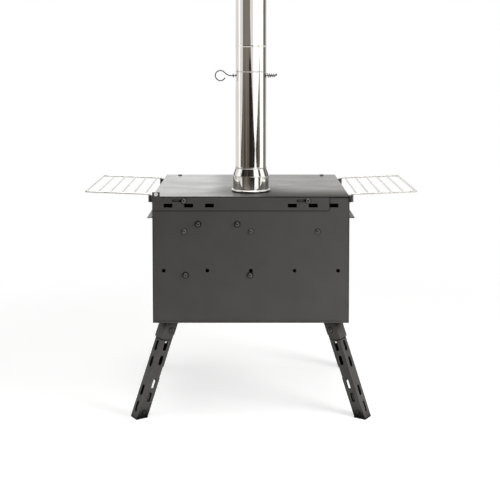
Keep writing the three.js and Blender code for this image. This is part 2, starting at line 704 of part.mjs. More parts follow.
function lowerPipe() {
  const rimMiddle = RIM_FOOT + RIM_ROLL_RADIUS;
  const rimCentre = SOCKET_RADIUS + RIM_OUTREACH - RIM_ROLL_RADIUS;
  const points = [[SOCKET_RADIUS - PIPE_WALL, RIM_FOOT + 0.6]];
  for (let step = 0; step <= 6; step += 1) {
    const angle = -Math.PI / 2 + (step / 6) * Math.PI;
    points.push([
      rimCentre + RIM_ROLL_RADIUS * Math.cos(angle), rimMiddle + RIM_ROLL_RADIUS * Math.sin(angle)]);
  }
  points.push(
    [SOCKET_RADIUS, RIM_FOOT + 2 * RIM_ROLL_RADIUS + 0.4], [SOCKET_RADIUS, SOCKET_TOP_END],
    [SOCKET_RADIUS - 1.2, SOCKET_TOP_END + FLARE_HEIGHT * 0.3],
    [PIPE_RADIUS + 1.2, SOCKET_TOP_END + FLARE_HEIGHT * 0.75],
    [PIPE_RADIUS, FLARE_TOP], [PIPE_RADIUS + PIPE_CREASE, FLARE_TOP + 1.2], [PIPE_RADIUS, FLARE_TOP + 2.4],
    [PIPE_RADIUS, LOWER_PIPE_SHOULDER], [SPIGOT_RADIUS, LOWER_PIPE_SHOULDER + 0.5],
    [SPIGOT_RADIUS, LOWER_PIPE_SHOULDER + SPIGOT_LENGTH],
    [SPIGOT_RADIUS - PIPE_WALL, LOWER_PIPE_SHOULDER + SPIGOT_LENGTH],
    [SPIGOT_RADIUS - PIPE_WALL, LOWER_PIPE_SHOULDER - 1],
    [PIPE_RADIUS - PIPE_WALL, LOWER_PIPE_SHOULDER - 2],
    [PIPE_RADIUS - PIPE_WALL, FLARE_TOP], [SOCKET_RADIUS - PIPE_WALL, SOCKET_TOP_END],
    points[0],
  );
  const pipe = upright(points, PIPE_SIDES);
  return cut(pipe, cylinderX(DAMPER_BORE, -SOCKET_RADIUS, SOCKET_RADIUS, 0, DAMPER_HEIGHT, 10));
}

function upperPipe() {
  const foot = LOWER_PIPE_SHOULDER + SEAT_GAP + 0.5;
  const inner = PIPE_RADIUS - PIPE_WALL;
  const bead = [
    [PIPE_RADIUS, STOP_BEAD_HEIGHT - 1.5], [PIPE_RADIUS + STOP_BEAD_RISE, STOP_BEAD_HEIGHT],
    [PIPE_RADIUS, STOP_BEAD_HEIGHT + 1.5]];
  return upright([
    [inner, foot], [PIPE_RADIUS, foot], ...bead, [PIPE_RADIUS, UPPER_PIPE_TOP], [inner, UPPER_PIPE_TOP],
    [inner, foot],
  ], PIPE_SIDES);
}

// ---------------------------------------------------------------- damper, about the X axis
function damperPlate() {
  const disc = new THREE.CylinderGeometry(DAMPER_RADIUS, DAMPER_RADIUS, DAMPER_SHEET, 32);
  const sleeve = KEY_WIRE_RADIUS + KEY_SLACK + 0.9;
  const reach = DAMPER_RADIUS * 0.8;
  return cut(join(disc, cylinderX(sleeve, -reach, reach, 0, 0, 10)),
    cylinderX(DAMPER_BORE, -DAMPER_RADIUS - 1, DAMPER_RADIUS + 1, 0, 0, 10));
}

// where the spring ends and the shaft's tail bends down behind it
const SPRING_START = PIPE_RADIUS + SEAT_GAP;
const SPRING_END = SPRING_START + SPRING_LENGTH;
const TAIL_X = SPRING_END + SEAT_GAP + KEY_WIRE_RADIUS;

// one wire: an open finger loop, the straight shaft through the pipe, and a bent tail
function damperKey() {
  const points = [];
  const loopStart = 52; // degrees, where the loop leaves the bend from the shaft
  const steps = 26;
  for (let step = 0; step <= steps; step += 1) {
    const swept = (step / steps) * (loopStart - 360 - KEY_LOOP_END);
    const angle = THREE.MathUtils.degToRad(360 + KEY_LOOP_END + swept);
    points.push(new THREE.Vector3(
      -KEY_LOOP_CENTRE + KEY_LOOP_RADIUS * Math.cos(angle), 0, KEY_LOOP_RADIUS * Math.sin(angle)));
  }
  const leave = points[points.length - 1];
  const bendEnd = new THREE.Vector3(-KEY_LOOP_CENTRE + 2.1 * KEY_LOOP_RADIUS, 0, 0);
  const sBend = new THREE.CubicBezierCurve3(
    leave, new THREE.Vector3(leave.x + 5, 0, leave.z - 4),
    new THREE.Vector3(bendEnd.x - 8, 0, 0), bendEnd);
  points.push(...sBend.getPoints(6).slice(1));
  const tailCorner = [
    points.pop(), new THREE.Vector3(TAIL_X, 0, 0),
    new THREE.Vector3(TAIL_X, 0, KEY_TAIL + KEY_WIRE_RADIUS)];
  points.push(...roundedRoute(tailCorner, [2]));
  return wire(points, KEY_WIRE_RADIUS, 8);
}

// a conical coil round the shaft, its ends straight along the shaft for one wire's diameter
function springRoute() {
  const points = [];
  const straight = SPRING_WIRE;
  const wound = SPRING_LENGTH - 2 * straight;
  const steps = SPRING_CURLS * CURL_STEPS;
  points.push(new THREE.Vector3(SPRING_START, 0, SPRING_WIDE_RADIUS));
  for (let step = 0; step <= steps; step += 1) {
    const share = step / steps;
    const angle = share * SPRING_CURLS * Math.PI * 2;
    const radius = THREE.MathUtils.lerp(SPRING_WIDE_RADIUS, SPRING_NARROW_RADIUS, share);
    points.push(new THREE.Vector3(
      SPRING_START + straight + share * wound, radius * Math.sin(angle), radius * Math.cos(angle)));
  }
  points.push(new THREE.Vector3(SPRING_END, 0, SPRING_NARROW_RADIUS));
  return points;
}

// least gap of the coil to itself, measured between points at least half a curl apart
function coilGap(points, wireDiameter) {
  let least = Infinity;
  const apart = CURL_STEPS / 2;
  for (let i = 0; i < points.length; i += 1) {
    for (let j = i + apart; j < points.length; j += 1) {
      least = Math.min(least, points[i].distanceTo(points[j]) - wireDiameter);
    }
  }
  return least;
}

// ---------------------------------------------------------------- side ledges and shelves
// a narrow shelf along the side wall, on a shorter flange that lies against the wall
function sideLedge(side) {
  const wall = side * (HALF_WIDTH + SEAT_GAP);
  const strip = [wall, side * (HALF_WIDTH + LEDGE_REACH)].sort((a, b) => a - b);
  const flange = [wall, wall + side * LEDGE_SHEET].sort((a, b) => a - b);
  const end = REAR + LEDGE_FLANGE_SETBACK;
  return join(
    box(...strip, REAR + 1, FRONT - 1, LEDGE_HEIGHT - LEDGE_SHEET, LEDGE_HEIGHT),
    box(...flange, end, -end, LEDGE_HEIGHT - LEDGE_FLANGE, LEDGE_HEIGHT));
}

// places of a shelf's two upright wire ends
const SHELF_NEAR_Y = REAR + SHELF_REAR;
const SHELF_FAR_Y = SHELF_NEAR_Y + SHELF_LENGTH;
const SHELF_ROOT_X = HALF_WIDTH + SHELF_ROOT;
const SADDLE_TOP = SHELF_HEIGHT - SHELF_WIRE - SEAT_GAP;

// a strap bent round the shelf's wire end, with two ears flat on the firebox's side
function shelfSaddle() {
  const bore = SHELF_WIRE + WIRE_SLACK;
  const outer = bore + SADDLE_WALL;
  const ear = outer + SADDLE_EAR;
  const wall = -SHELF_ROOT + SEAT_GAP;
  const plan = new THREE.Shape();
  plan.moveTo(wall, -ear);
  plan.lineTo(wall + SADDLE_WALL, -ear);
  plan.lineTo(wall + SADDLE_WALL, -outer);
  plan.lineTo(0, -outer);
  plan.absarc(0, 0, outer, -Math.PI / 2, Math.PI / 2);
  plan.lineTo(wall + SADDLE_WALL, outer);
  plan.lineTo(wall + SADDLE_WALL, ear);
  plan.lineTo(wall, ear);
  plan.holes.push(circle(0, 0, bore));
  return levelSheet(plan, SADDLE_HEIGHT, -SADDLE_HEIGHT, 6);
}

// drawn for the +X side, heights from the wire's corner above the saddles
function wireShelf() {
  const slope = SHELF_RISE / SHELF_REACH;
  const end = SHELF_REACH - SHELF_ROOT;
  const corners = [
    new THREE.Vector3(0, 0, -SHELF_DROP), new THREE.Vector3(0, 0, 0),
    new THREE.Vector3(end, 0, end * slope), new THREE.Vector3(end, SHELF_LENGTH, end * slope),
    new THREE.Vector3(0, SHELF_LENGTH, 0), new THREE.Vector3(0, SHELF_LENGTH, -SHELF_DROP)];
  const radii = [SHELF_ROOT_BEND, SHELF_CORNER, SHELF_CORNER, SHELF_ROOT_BEND];
  const frame = wire(roundedRoute(corners, radii), SHELF_WIRE, 8);
  const bars = [];
  for (let i = 0; i < SHELF_BAR_COUNT; i += 1) {
    const x = SHELF_BAR_FIRST - SHELF_ROOT + i * SHELF_BAR_PITCH;
    const lift = x * slope + SHELF_BAR * 0.5;
    bars.push(wire([new THREE.Vector3(x, 0, lift), new THREE.Vector3(x, SHELF_LENGTH, lift)], SHELF_BAR, 6));
  }
  return join(frame, ...bars);
}

// ---------------------------------------------------------------- legs
// Built about the pivot: local X points outwards over the foot, Y is the pivot's axis, Z is up.
const LEAN = THREE.MathUtils.degToRad(LEG_LEAN);
const PIVOT_HEIGHT = BODY_UNDERSIDE - PIVOT_DROP;

function leaned(geometry) {
  return geometry.rotateY(-LEAN);
}

// a flange drawn in X and along the leg, one on each side of the pivot's middle plane
function flangePair(shape, outerHalf, thickness) {
  const left = uprightSheet(shape, thickness, outerHalf - thickness);
  const right = uprightSheet(shape, thickness, -outerHalf);
  return [left, right];
}

function webPlate(halfWidth, outerX, thickness, foot, head, slots) {
  const shape = rectangle(-halfWidth, halfWidth, foot, head);
  for (const s of slots) shape.holes.push(slot(0, -s, WEB_SLOT_LENGTH, WEB_SLOT_WIDTH, true));
  return alongX(shape, outerX - thickness, outerX);
}

function belowGround(margin = 0) {
  return box(-400, 400, -100, 100, -PIVOT_HEIGHT - 400, -PIVOT_HEIGHT + margin);
}

function flangeSlot(below) {
  return slot(FLANGE_SLOT_SHIFT, -below, FLANGE_SLOT_LENGTH, FLANGE_SLOT_WIDTH, true);
}

const LEG_RUN = PIVOT_HEIGHT / Math.cos(LEAN) + 40; // longer than needed, cut at the ground

function legChannel() {
  const inner = PIVOT_FROM_WEB - LEG_FLANGE;
  const wide = PIVOT_FROM_WEB - LEG_FLANGE_WIDE;
  const flange = new THREE.Shape();
  flange.moveTo(inner, -LEG_RUN);
  flange.lineTo(PIVOT_FROM_WEB, -LEG_RUN);
  flange.lineTo(PIVOT_FROM_WEB, 0);
  const lastAngle = Math.acos(wide / PIVOT_FROM_WEB);
  flange.absarc(0, 0, PIVOT_FROM_WEB, 0, lastAngle);
  flange.lineTo(wide, -LEG_FLANGE_STEP);
  flange.lineTo(inner, -LEG_FLANGE_STEP);
  flange.lineTo(inner, -LEG_RUN);
  flange.holes.push(circle(0, 0, PIVOT_RADIUS + PIVOT_SLACK));
  for (const s of FLANGE_SLOTS) flange.holes.push(flangeSlot(s));
  flange.holes.push(circle(FOOT_STUD_SHIFT, -FOOT_STUD, FOOT_STUD_RADIUS + PIVOT_SLACK));
  const half = LEG_WEB / 2;
  const web = webPlate(half - LEG_SHEET / 2, PIVOT_FROM_WEB, LEG_SHEET, -LEG_RUN, -1, WEB_SLOTS);
  const channel = join(...flangePair(flange, half, LEG_SHEET), web);
  return cut(leaned(channel), belowGround(FOOT_SOLE + SEAT_GAP));
}

function footInsert() {
  const outerHalf = LEG_WEB / 2 - LEG_SHEET - SEAT_GAP;
  const webX = PIVOT_FROM_WEB - LEG_SHEET - SEAT_GAP;
  const inner = PIVOT_FROM_WEB - FOOT_FLANGE;
  const flange = rectangle(inner, webX, -LEG_RUN, -FOOT_TOP);
  flange.holes.push(flangeSlot(FLANGE_SLOTS[2] + FOOT_SLOT_LOWER));
  const web = webPlate(outerHalf - FOOT_SHEET / 2, webX, FOOT_SHEET, -LEG_RUN, -FOOT_TOP, [WEB_SLOTS[2]]);
  const channel = join(...flangePair(flange, outerHalf, FOOT_SHEET), web);
  const soleBlock = box(inner, PIVOT_FROM_WEB, -LEG_WEB / 2, LEG_WEB / 2, -LEG_RUN, 0);
  const sole = cut(leaned(soleBlock), belowGround(), aboveSole());
  const headFace = LEG_WEB / 2 + SEAT_GAP;
  const studs = [-1, 1].map((side) => {
    const root = outerHalf - FOOT_SHEET / 2;
    const crown = headFace + FOOT_STUD_HEAD_HEIGHT;
    const stud = turnedProfile([
      [0, root], [FOOT_STUD_RADIUS, root], [FOOT_STUD_RADIUS, headFace],
      [FOOT_STUD_HEAD_RADIUS, headFace], [FOOT_STUD_HEAD_RADIUS * 0.7, crown], [0, crown]]);
    return stud.rotateX(side > 0 ? 0 : Math.PI).translate(FOOT_STUD_SHIFT, 0, -FOOT_STUD);
  });
  const insert = cut(leaned(join(channel, ...studs)), belowGround());
  return join(insert, sole);
}

function aboveSole() {
  return box(-400, 400, -100, 100, -PIVOT_HEIGHT + FOOT_SOLE, -PIVOT_HEIGHT + 400);
}

function legBracket() {
  const innerHalf = LEG_WEB / 2 + BRACKET_SLACK;
  const outerHalf = innerHalf + BRACKET_SHEET;
  const webX = PIVOT_FROM_WEB + BRACKET_SLACK + BRACKET_SHEET;
  const inner = PIVOT_FROM_WEB - BRACKET_FLANGE;
  const head = 2 * PIVOT_DROP;
  const flange = new THREE.Shape();
  flange.moveTo(webX, -BRACKET_TAIL);
  flange.lineTo(webX, head);
  flange.lineTo(inner, head);
  flange.lineTo(inner, -BRACKET_EDGE_TAIL);
  flange.quadraticCurveTo(inner + 3, -BRACKET_TAIL, webX - 6, -BRACKET_TAIL);
  flange.holes.push(circle(0, 0, PIVOT_RADIUS + PIVOT_SLACK));
  const web = webPlate(outerHalf - BRACKET_SHEET / 2, webX, BRACKET_SHEET, -BRACKET_TAIL, head, []);
  const channel = leaned(join(...flangePair(flange, outerHalf, BRACKET_SHEET), web));
  const top = PIVOT_DROP - SEAT_GAP;
  const trimmed = cut(channel, box(-400, 400, -100, 100, top, top + 200));
  const shift = Math.tan(LEAN) * PIVOT_DROP;
  const seat = box(inner - shift, webX - shift - 1, -innerHalf - 1, innerHalf + 1, top - BRACKET_SHEET, top);
  return join(trimmed, seat);
}

function pivotRivet() {
  const face = LEG_WEB / 2 + BRACKET_SLACK + BRACKET_SHEET + SEAT_GAP;
  const crown = face + PIVOT_HEAD_HEIGHT;
  return turnedProfile([
    [0, -crown], [PIVOT_HEAD_RADIUS * 0.7, -crown], [PIVOT_HEAD_RADIUS, -face],
    [PIVOT_RADIUS, -face], [PIVOT_RADIUS, face], [PIVOT_HEAD_RADIUS, face],
    [PIVOT_HEAD_RADIUS * 0.7, crown], [0, crown]]);
}

function addLeg(label, sideX, sideY) {
  const outward = new THREE.Vector2(sideX, 0).angle();
  const turn = THREE.MathUtils.degToRad(LEG_AZIMUTH) * sideX * sideY;
  const corner = new THREE.Group();
  corner.position.set(
    sideX * (HALF_WIDTH - PIVOT_FROM_SIDE), sideY * (FRONT - PIVOT_FROM_END), PIVOT_HEIGHT);
  corner.rotation.z = outward + turn;
  stove.add(corner);
  addPiece(corner, `leg_bracket_${label}`, legBracket(), coatedLegs);
  addPiece(corner, `leg_rivet_${label}`, pivotRivet(), fastenerSteel);
  addPiece(corner, `leg_${label}`, legChannel(), coatedLegs);
  addPiece(corner, `foot_${label}`, footInsert(), coatedLegs);
}

// ---------------------------------------------------------------- door
const DOOR_BACK = FRONT + SEAT_GAP;
const HINGE_X = -DOOR_WIDTH / 2 - HINGE_AXIS_PAST_DOOR;
const HINGE_Y = FRONT + HINGE_AXIS_OUT;
const KNUCKLE_RADIUS = HINGE_PIN_RADIUS + HINGE_SLACK + KNUCKLE_WALL;
const hingePlaces = [
  { name: 'hinge_lower', z: DOOR_FOOT + KNUCKLE_INSET },
  { name: 'hinge_upper', z: DOOR_FOOT + DOOR_HEIGHT - KNUCKLE_INSET - KNUCKLE_LENGTH },
];
const LATCH_X = DOOR_WIDTH / 2 - LATCH_FROM_EDGE;

function doorPanel() {
  const shape = rectangle(-DOOR_WIDTH / 2, DOOR_WIDTH / 2, DOOR_FOOT, DOOR_FOOT + DOOR_HEIGHT);
  const window = roundedBox(
    WINDOW_WIDTH / 2, DOOR_MIDDLE - WINDOW_HEIGHT / 2, DOOR_MIDDLE + WINDOW_HEIGHT / 2, WINDOW_CORNER);
  shape.holes.push(window);
  shape.holes.push(circle(LATCH_X, DOOR_MIDDLE, LATCH_BOLT_RADIUS + SEAT_GAP));
  const plate = uprightSheet(shape, DOOR_SHEET, DOOR_BACK);
  const pieces = [plate];
  const edge = -DOOR_WIDTH / 2;
  const armEnd = edge + KNUCKLE_ARM_ON_DOOR;
  const armBack = HINGE_Y - KNUCKLE_RADIUS;
  for (const hinge of hingePlaces) {
    // a curled knuckle on an arm that is one with the door's plate
    pieces.push(cylinderZ(KNUCKLE_RADIUS, hinge.z, hinge.z + KNUCKLE_LENGTH, HINGE_X, HINGE_Y, 16));
    pieces.push(box(HINGE_X, armEnd, armBack, armBack + DOOR_SHEET, hinge.z, hinge.z + KNUCKLE_LENGTH));
    pieces.push(box(edge, armEnd, DOOR_BACK, armBack + DOOR_SHEET, hinge.z, hinge.z + KNUCKLE_LENGTH));
  }
  const bores = hingePlaces.map((hinge) => cylinderZ(
    HINGE_PIN_RADIUS + HINGE_SLACK, hinge.z - 1, hinge.z + KNUCKLE_LENGTH + 1, HINGE_X, HINGE_Y, 16));
  return cut(join(...pieces), ...bores);
}

function hingeBracket() {
  // a plate on the front panel, a lug under the knuckle and the pin that stands in it
  const plate = box(-HINGE_PLATE_WIDTH, 2, SEAT_GAP, SEAT_GAP + SHEET + 0.5, -HINGE_PLATE_HEIGHT, -SEAT_GAP);
  const lugEnd = HINGE_AXIS_OUT + KNUCKLE_RADIUS;
  const lug = box(-KNUCKLE_RADIUS, KNUCKLE_RADIUS, SEAT_GAP, lugEnd, -HINGE_LUG_SHEET, -SEAT_GAP);
  const pin = cylinderZ(HINGE_PIN_RADIUS, -2, KNUCKLE_LENGTH + 3, 0, HINGE_AXIS_OUT, 16);
  return join(plate, lug, pin);
}

function glassPane() {
  const half = WINDOW_WIDTH / 2 + GLASS_OVERLAP;
  const rise = WINDOW_HEIGHT / 2 + GLASS_OVERLAP;
  return uprightSheet(roundedBox(half, DOOR_MIDDLE - rise, DOOR_MIDDLE + rise, 6), GLASS_SHEET,
    DOOR_BACK - SEAT_GAP - GLASS_SHEET);
}

// a pressed frame behind the glass: a step that holds the glass's edge against the door
function glassRetainer() {
  const half = WINDOW_WIDTH / 2 + GLASS_OVERLAP + SEAT_GAP;
  const rise = WINDOW_HEIGHT / 2 + GLASS_OVERLAP + SEAT_GAP;
  const backFace = DOOR_BACK - 2 * SEAT_GAP - GLASS_SHEET;
  const deep = roundedBox(
    half + RETAINER_BORDER, DOOR_MIDDLE - rise - RETAINER_BORDER, DOOR_MIDDLE + rise + RETAINER_BORDER, 12);
  deep.holes.push(roundedBox(half, DOOR_MIDDLE - rise, DOOR_MIDDLE + rise, 6));
  const lip = roundedBox(
    half + RETAINER_BORDER, DOOR_MIDDLE - rise - RETAINER_BORDER, DOOR_MIDDLE + rise + RETAINER_BORDER, 12);
  const openHalf = WINDOW_WIDTH / 2 + RETAINER_SETBACK;
  const openRise = WINDOW_HEIGHT / 2 + RETAINER_SETBACK;
  lip.holes.push(roundedBox(openHalf, DOOR_MIDDLE - openRise, DOOR_MIDDLE + openRise, WINDOW_CORNER));
  const back = backFace - RETAINER_SHEET;
  const ring = uprightSheet(deep, DOOR_BACK - SEAT_GAP - back, back);
  return join(ring, uprightSheet(lip, RETAINER_SHEET, back));
}

// ---------------------------------------------------------------- latch
const LATCH_FACE = DOOR_BACK + DOOR_SHEET + 0.5;

function latchBolt() {
  const head = LATCH_FACE + LATCH_SHEET + SEAT_GAP - DOOR_BACK;
  const inside = -SEAT_GAP;
  return turnedProfile([
    [0, inside - 2], [6, inside - 2], [6, inside], [LATCH_BOLT_RADIUS, inside],
    [LATCH_BOLT_RADIUS, head], [6, head], [4.5, head + 2.2], [0, head + 2.2]]);
}

// the handle about its bolt: a tongue that hooks into the keeper, and a hanging round grip
function latchHandle() {
  const shape = new THREE.Shape();
  const rise = LATCH_TONGUE_HEIGHT / 2;
  const start = Math.asin(rise / LATCH_HUB_RADIUS);
  shape.moveTo(LATCH_TONGUE, -rise);
  shape.lineTo(LATCH_TONGUE, rise);
  shape.absarc(0, 0, LATCH_HUB_RADIUS, start, Math.PI * 2 - start);
  shape.holes.push(circle(0, 0, LATCH_BOLT_RADIUS + SEAT_GAP));
  const tongue = uprightSheet(shape, LATCH_SHEET, LATCH_FACE, 8);
  const armFoot = -LATCH_GRIP_START - 6;
  const arm = box(-3.5, 3.5, LATCH_FACE, LATCH_FACE + LATCH_SHEET, armFoot, -LATCH_HUB_RADIUS + 2);
  const grip = upright([
    [0, 0], [LATCH_GRIP_RADIUS, 1.5], [LATCH_GRIP_RADIUS + 1, LATCH_GRIP_LENGTH - 6],
    [LATCH_GRIP_RADIUS, LATCH_GRIP_LENGTH], [0, LATCH_GRIP_LENGTH]], 14);
  grip.rotateX(Math.PI).translate(0, LATCH_FACE + LATCH_SHEET / 2 + 3.6, -LATCH_GRIP_START);
  return join(tongue, arm, grip);
}

function latchKeeper() {
  const tip = LATCH_X + LATCH_TONGUE;
  const seat = FRONT + SEAT_GAP;
  const lipBack = LATCH_FACE + LATCH_SHEET + 0.6;
  const post = tip + 1.4;
  const plan = outline([
    [DOOR_WIDTH / 2 + 3, seat], [post + KEEPER_SHEET, seat], [post + KEEPER_SHEET, lipBack + KEEPER_SHEET],
    [post + KEEPER_SHEET - KEEPER_LIP, lipBack + KEEPER_SHEET], [post + KEEPER_SHEET - KEEPER_LIP, lipBack],
    [post, lipBack], [post, seat + KEEPER_SHEET], [DOOR_WIDTH / 2 + 3, seat + KEEPER_SHEET]]);
  return levelSheet(plan, KEEPER_HEIGHT, DOOR_MIDDLE - KEEPER_HEIGHT / 2);
}

// ---------------------------------------------------------------- assembly
addPiece(stove, 'firebox_shell', fireboxShell(), coatedSteel);
addPiece(stove, 'cooktop', cooktop(), cooktopSteel);
addPiece(stove, 'rear_panel', rearPanel(), coatedSteel);
addPiece(stove, 'front_panel', frontPanel(), coatedSteel);
addPiece(stove, 'rear_liner', rearLiner(), bareSteel);
addPiece(stove, 'baffle_plate', bafflePlate(), bareSteel);
addPiece(stove, 'fire_grate', fireGrate(), bareSteel);

for (const rivet of rearRivets) {
  const sheets = rivet.baffle ? 2 : 1;
  const grip = LINER_STANDOFF + sheets * SHEET + (sheets + 2) * SEAT_GAP;
  const radius = rivet.stud ? STUD_RADIUS : SCREW_HEAD_RADIUS;
  const height = rivet.stud ? STUD_HEIGHT : SCREW_HEAD_HEIGHT;
  addPiece(stove, rivet.name, throughFastener(radius, height, grip), fastenerSteel,
    rivet.x, REAR - SEAT_GAP, rivet.z);
}

addPiece(stove, 'rear_air_slider', rearAirSlider(), coatedSteel);
addPiece(stove, 'front_air_slider', frontAirSlider(), coatedSteel);
const sliderGrip = SLIDER_SHEET + SHEET + 3 * SEAT_GAP;
guideScrewPlaces().forEach((x, index) => {
  const label = index === 0 ? 'left' : 'right';
  const rearScrew = throughFastener(SCREW_HEAD_RADIUS, SCREW_HEAD_HEIGHT, sliderGrip);
  addPiece(stove, `rear_slider_screw_${label}`, rearScrew, fastenerSteel,
    x, REAR - SLIDER_SHEET - 2 * SEAT_GAP, VENT_ROW + GUIDE_ABOVE_VENTS);
  const frontScrew = throughFastener(SCREW_HEAD_RADIUS, SCREW_HEAD_HEIGHT, sliderGrip).rotateX(Math.PI);
  addPiece(stove, `front_slider_screw_${label}`, frontScrew, fastenerSteel,
    x, FRONT + SLIDER_SHEET + 2 * SEAT_GAP, FRONT_VENT_ROW + GUIDE_ABOVE_VENTS);
});

addPiece(stove, 'flue_collar', flueCollar(), bareSteel, 0, FLUE_Y, 0);
addPiece(stove, 'flue_pipe_lower', lowerPipe(), polishedSteel, 0, FLUE_Y, 0);
addPiece(stove, 'flue_pipe_upper', upperPipe(), polishedSteel, 0, FLUE_Y, 0);

const damper = new THREE.Group();
damper.position.set(0, FLUE_Y, DAMPER_HEIGHT);
stove.add(damper);
addPiece(damper, 'damper_plate', damperPlate(), bareSteel);
addPiece(damper, 'damper_key', damperKey(), wireSteel);
const washer = turnedProfile([
  [KEY_WIRE_RADIUS + SEAT_GAP, 0], [WASHER_OUTER, 0], [WASHER_OUTER, WASHER_HEIGHT],
  [KEY_WIRE_RADIUS + SEAT_GAP, WASHER_HEIGHT], [KEY_WIRE_RADIUS + SEAT_GAP, 0]]).rotateZ(Math.PI / 2);
addPiece(damper, 'damper_washer', washer, fastenerSteel, -WASHER_FROM_AXIS, 0, 0);
const springPoints = springRoute();
console.log(`damper spring: least gap to itself ${coilGap(springPoints, SPRING_WIRE).toFixed(2)} mm`);
addPiece(damper, 'damper_spring', wire(springPoints, SPRING_WIRE / 2, CURL_SIDES), wireSteel);

for (const side of [-1, 1]) {
  const label = side < 0 ? 'left' : 'right';
  addPiece(stove, `side_ledge_${label}`, sideLedge(side), coatedSteel);
  const hand = new THREE.Group();
  hand.rotation.z = side < 0 ? Math.PI : 0;
  stove.add(hand);
  const first = side < 0 ? -SHELF_FAR_Y : SHELF_NEAR_Y;
  addPiece(hand, `wire_shelf_${label}`, wireShelf(), wireSteel, SHELF_ROOT_X, first, SHELF_HEIGHT);
  for (const end of ['rear', 'front']) {
    const y = (side < 0 ? -1 : 1) * (end === 'rear' ? SHELF_NEAR_Y : SHELF_FAR_Y);
    addPiece(hand, `shelf_saddle_${label}_${end}`, shelfSaddle(), coatedSteel, SHELF_ROOT_X, y, SADDLE_TOP);
  }
}

addLeg('rear_left', -1, -1);
addLeg('rear_right', 1, -1);
addLeg('front_left', -1, 1);
addLeg('front_right', 1, 1);

addPiece(stove, 'door_panel', doorPanel(), coatedSteel);
addPiece(stove, 'door_glass', glassPane(), stoveGlass);
addPiece(stove, 'glass_retainer', glassRetainer(), bareSteel);
for (const hinge of hingePlaces) {
  addPiece(stove, hinge.name, hingeBracket(), coatedSteel, HINGE_X, FRONT, hinge.z);
}
addPiece(stove, 'latch_bolt', latchBolt(), fastenerSteel, LATCH_X, DOOR_BACK, DOOR_MIDDLE);
const handle = addPiece(stove, 'latch_handle', latchHandle(), wireSteel, LATCH_X, 0, DOOR_MIDDLE);
handle.rotation.y = -THREE.MathUtils.degToRad(LATCH_LIFT);
addPiece(stove, 'latch_keeper', latchKeeper(), coatedSteel);

export default stove;
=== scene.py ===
# %% [markdown]
# # A folding tent stove of coated sheet steel
#
# The stove is a folded sheet-metal firebox on four splayed legs, with a mirror-polished flue
# pipe and two bright wire shelves. Its solids come from the CAD model. This script gives them
# the finishes of the real object and rebuilds the round and bright pieces, where a mirror shows
# every flat of a faceted solid, as fine smooth meshes.

import math

import bmesh
import bpy
from mathutils import Matrix, Vector


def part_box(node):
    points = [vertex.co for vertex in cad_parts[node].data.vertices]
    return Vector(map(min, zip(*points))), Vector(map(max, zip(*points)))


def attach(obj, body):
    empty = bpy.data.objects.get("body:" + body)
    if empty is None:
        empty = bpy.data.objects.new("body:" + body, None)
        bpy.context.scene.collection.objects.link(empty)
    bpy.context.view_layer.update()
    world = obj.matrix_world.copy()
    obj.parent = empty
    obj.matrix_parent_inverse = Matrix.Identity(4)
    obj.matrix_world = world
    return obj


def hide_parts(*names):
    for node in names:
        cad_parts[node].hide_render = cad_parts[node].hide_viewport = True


MM = 0.001
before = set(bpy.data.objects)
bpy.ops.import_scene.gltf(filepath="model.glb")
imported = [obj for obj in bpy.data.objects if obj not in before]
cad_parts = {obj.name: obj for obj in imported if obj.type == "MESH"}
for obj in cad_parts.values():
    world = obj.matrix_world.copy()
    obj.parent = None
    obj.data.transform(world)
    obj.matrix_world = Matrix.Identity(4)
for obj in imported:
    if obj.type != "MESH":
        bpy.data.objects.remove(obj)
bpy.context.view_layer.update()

# %% [markdown]
# ## Colours and nodes
#
# A colour picked from a picture is in sRGB, and a shader needs it in linear light, so every
# colour here goes through one function. Every finish is a small graph of nodes, made with one
# function that sets a node's values or joins its inputs to other nodes.

# %% Colour and node helpers


def linear(channel):
    return channel / 12.92 if channel <= 0.04045 else ((channel + 0.055) / 1.055) ** 2.4


def colour(code):
    return tuple(linear(int(code[i : i + 2], 16) / 255) for i in (1, 3, 5)) + (1.0,)


def per_mm(size):
    """The scale that makes a pattern's cell about this many millimetres wide."""
    return 1.0 / (size * MM)


def add_node(tree, kind, settings=None, inputs=None):
    node = tree.nodes.new("ShaderNode" + kind)
    for name, value in (settings or {}).items():
        setattr(node, name, value)
    for socket, value in (inputs or {}).items():
        if isinstance(value, bpy.types.NodeSocket):
            tree.links.new(value, node.inputs[socket])
        else:
            node.inputs[socket].default_value = value
    return node


def new_material(name):
    material = bpy.data.materials.new(name)
    material.use_nodes = True
    tree = material.node_tree
    tree.nodes.clear()
    return material, tree


def show(tree, shader):
    add_node(tree, "OutputMaterial", inputs={"Surface": shader.outputs[0]})


# %% [markdown]
# ## The heat-resistant coating
#
# Tent stoves are sprayed with a thin, dark, warm grey coating that stands a red heat. It is
# satin: it has a fine dry grain of about half a millimetre and faint clouds a few centimetres
# wide where the spray lay thicker. Along folded edges it is painted a lighter grey, partly for
# rubbing and partly as a painted highlight; this comes from comparing the true normal with one
# rounded over the edge, and the same rounded normal softens the sheet's cut edges by a few
# tenths of a millimetre. In seams, round the screws and wherever else a neighbour closer than
# 5 mm shuts the surface in, the coating is painted darker and loses its shine: painted shade.

# %% Painted shade in corners


def shut_in(tree, reach_mm, open_light, full_light):
    """0 where the surface lies open, 1 where neighbours closer than reach_mm shut it in; the finishes
    paint shade with this mask.
    """
    light = add_node(tree, "AmbientOcclusion", {"samples": 8}, {"Distance": reach_mm * MM})
    share = add_node(
        tree,
        "MapRange",
        inputs={"Value": light.outputs["AO"], "From Min": open_light, "From Max": full_light},
    )
    return share.outputs[0]


print("one recipe darkens the corners of the coatings, the hotplate and the screws")
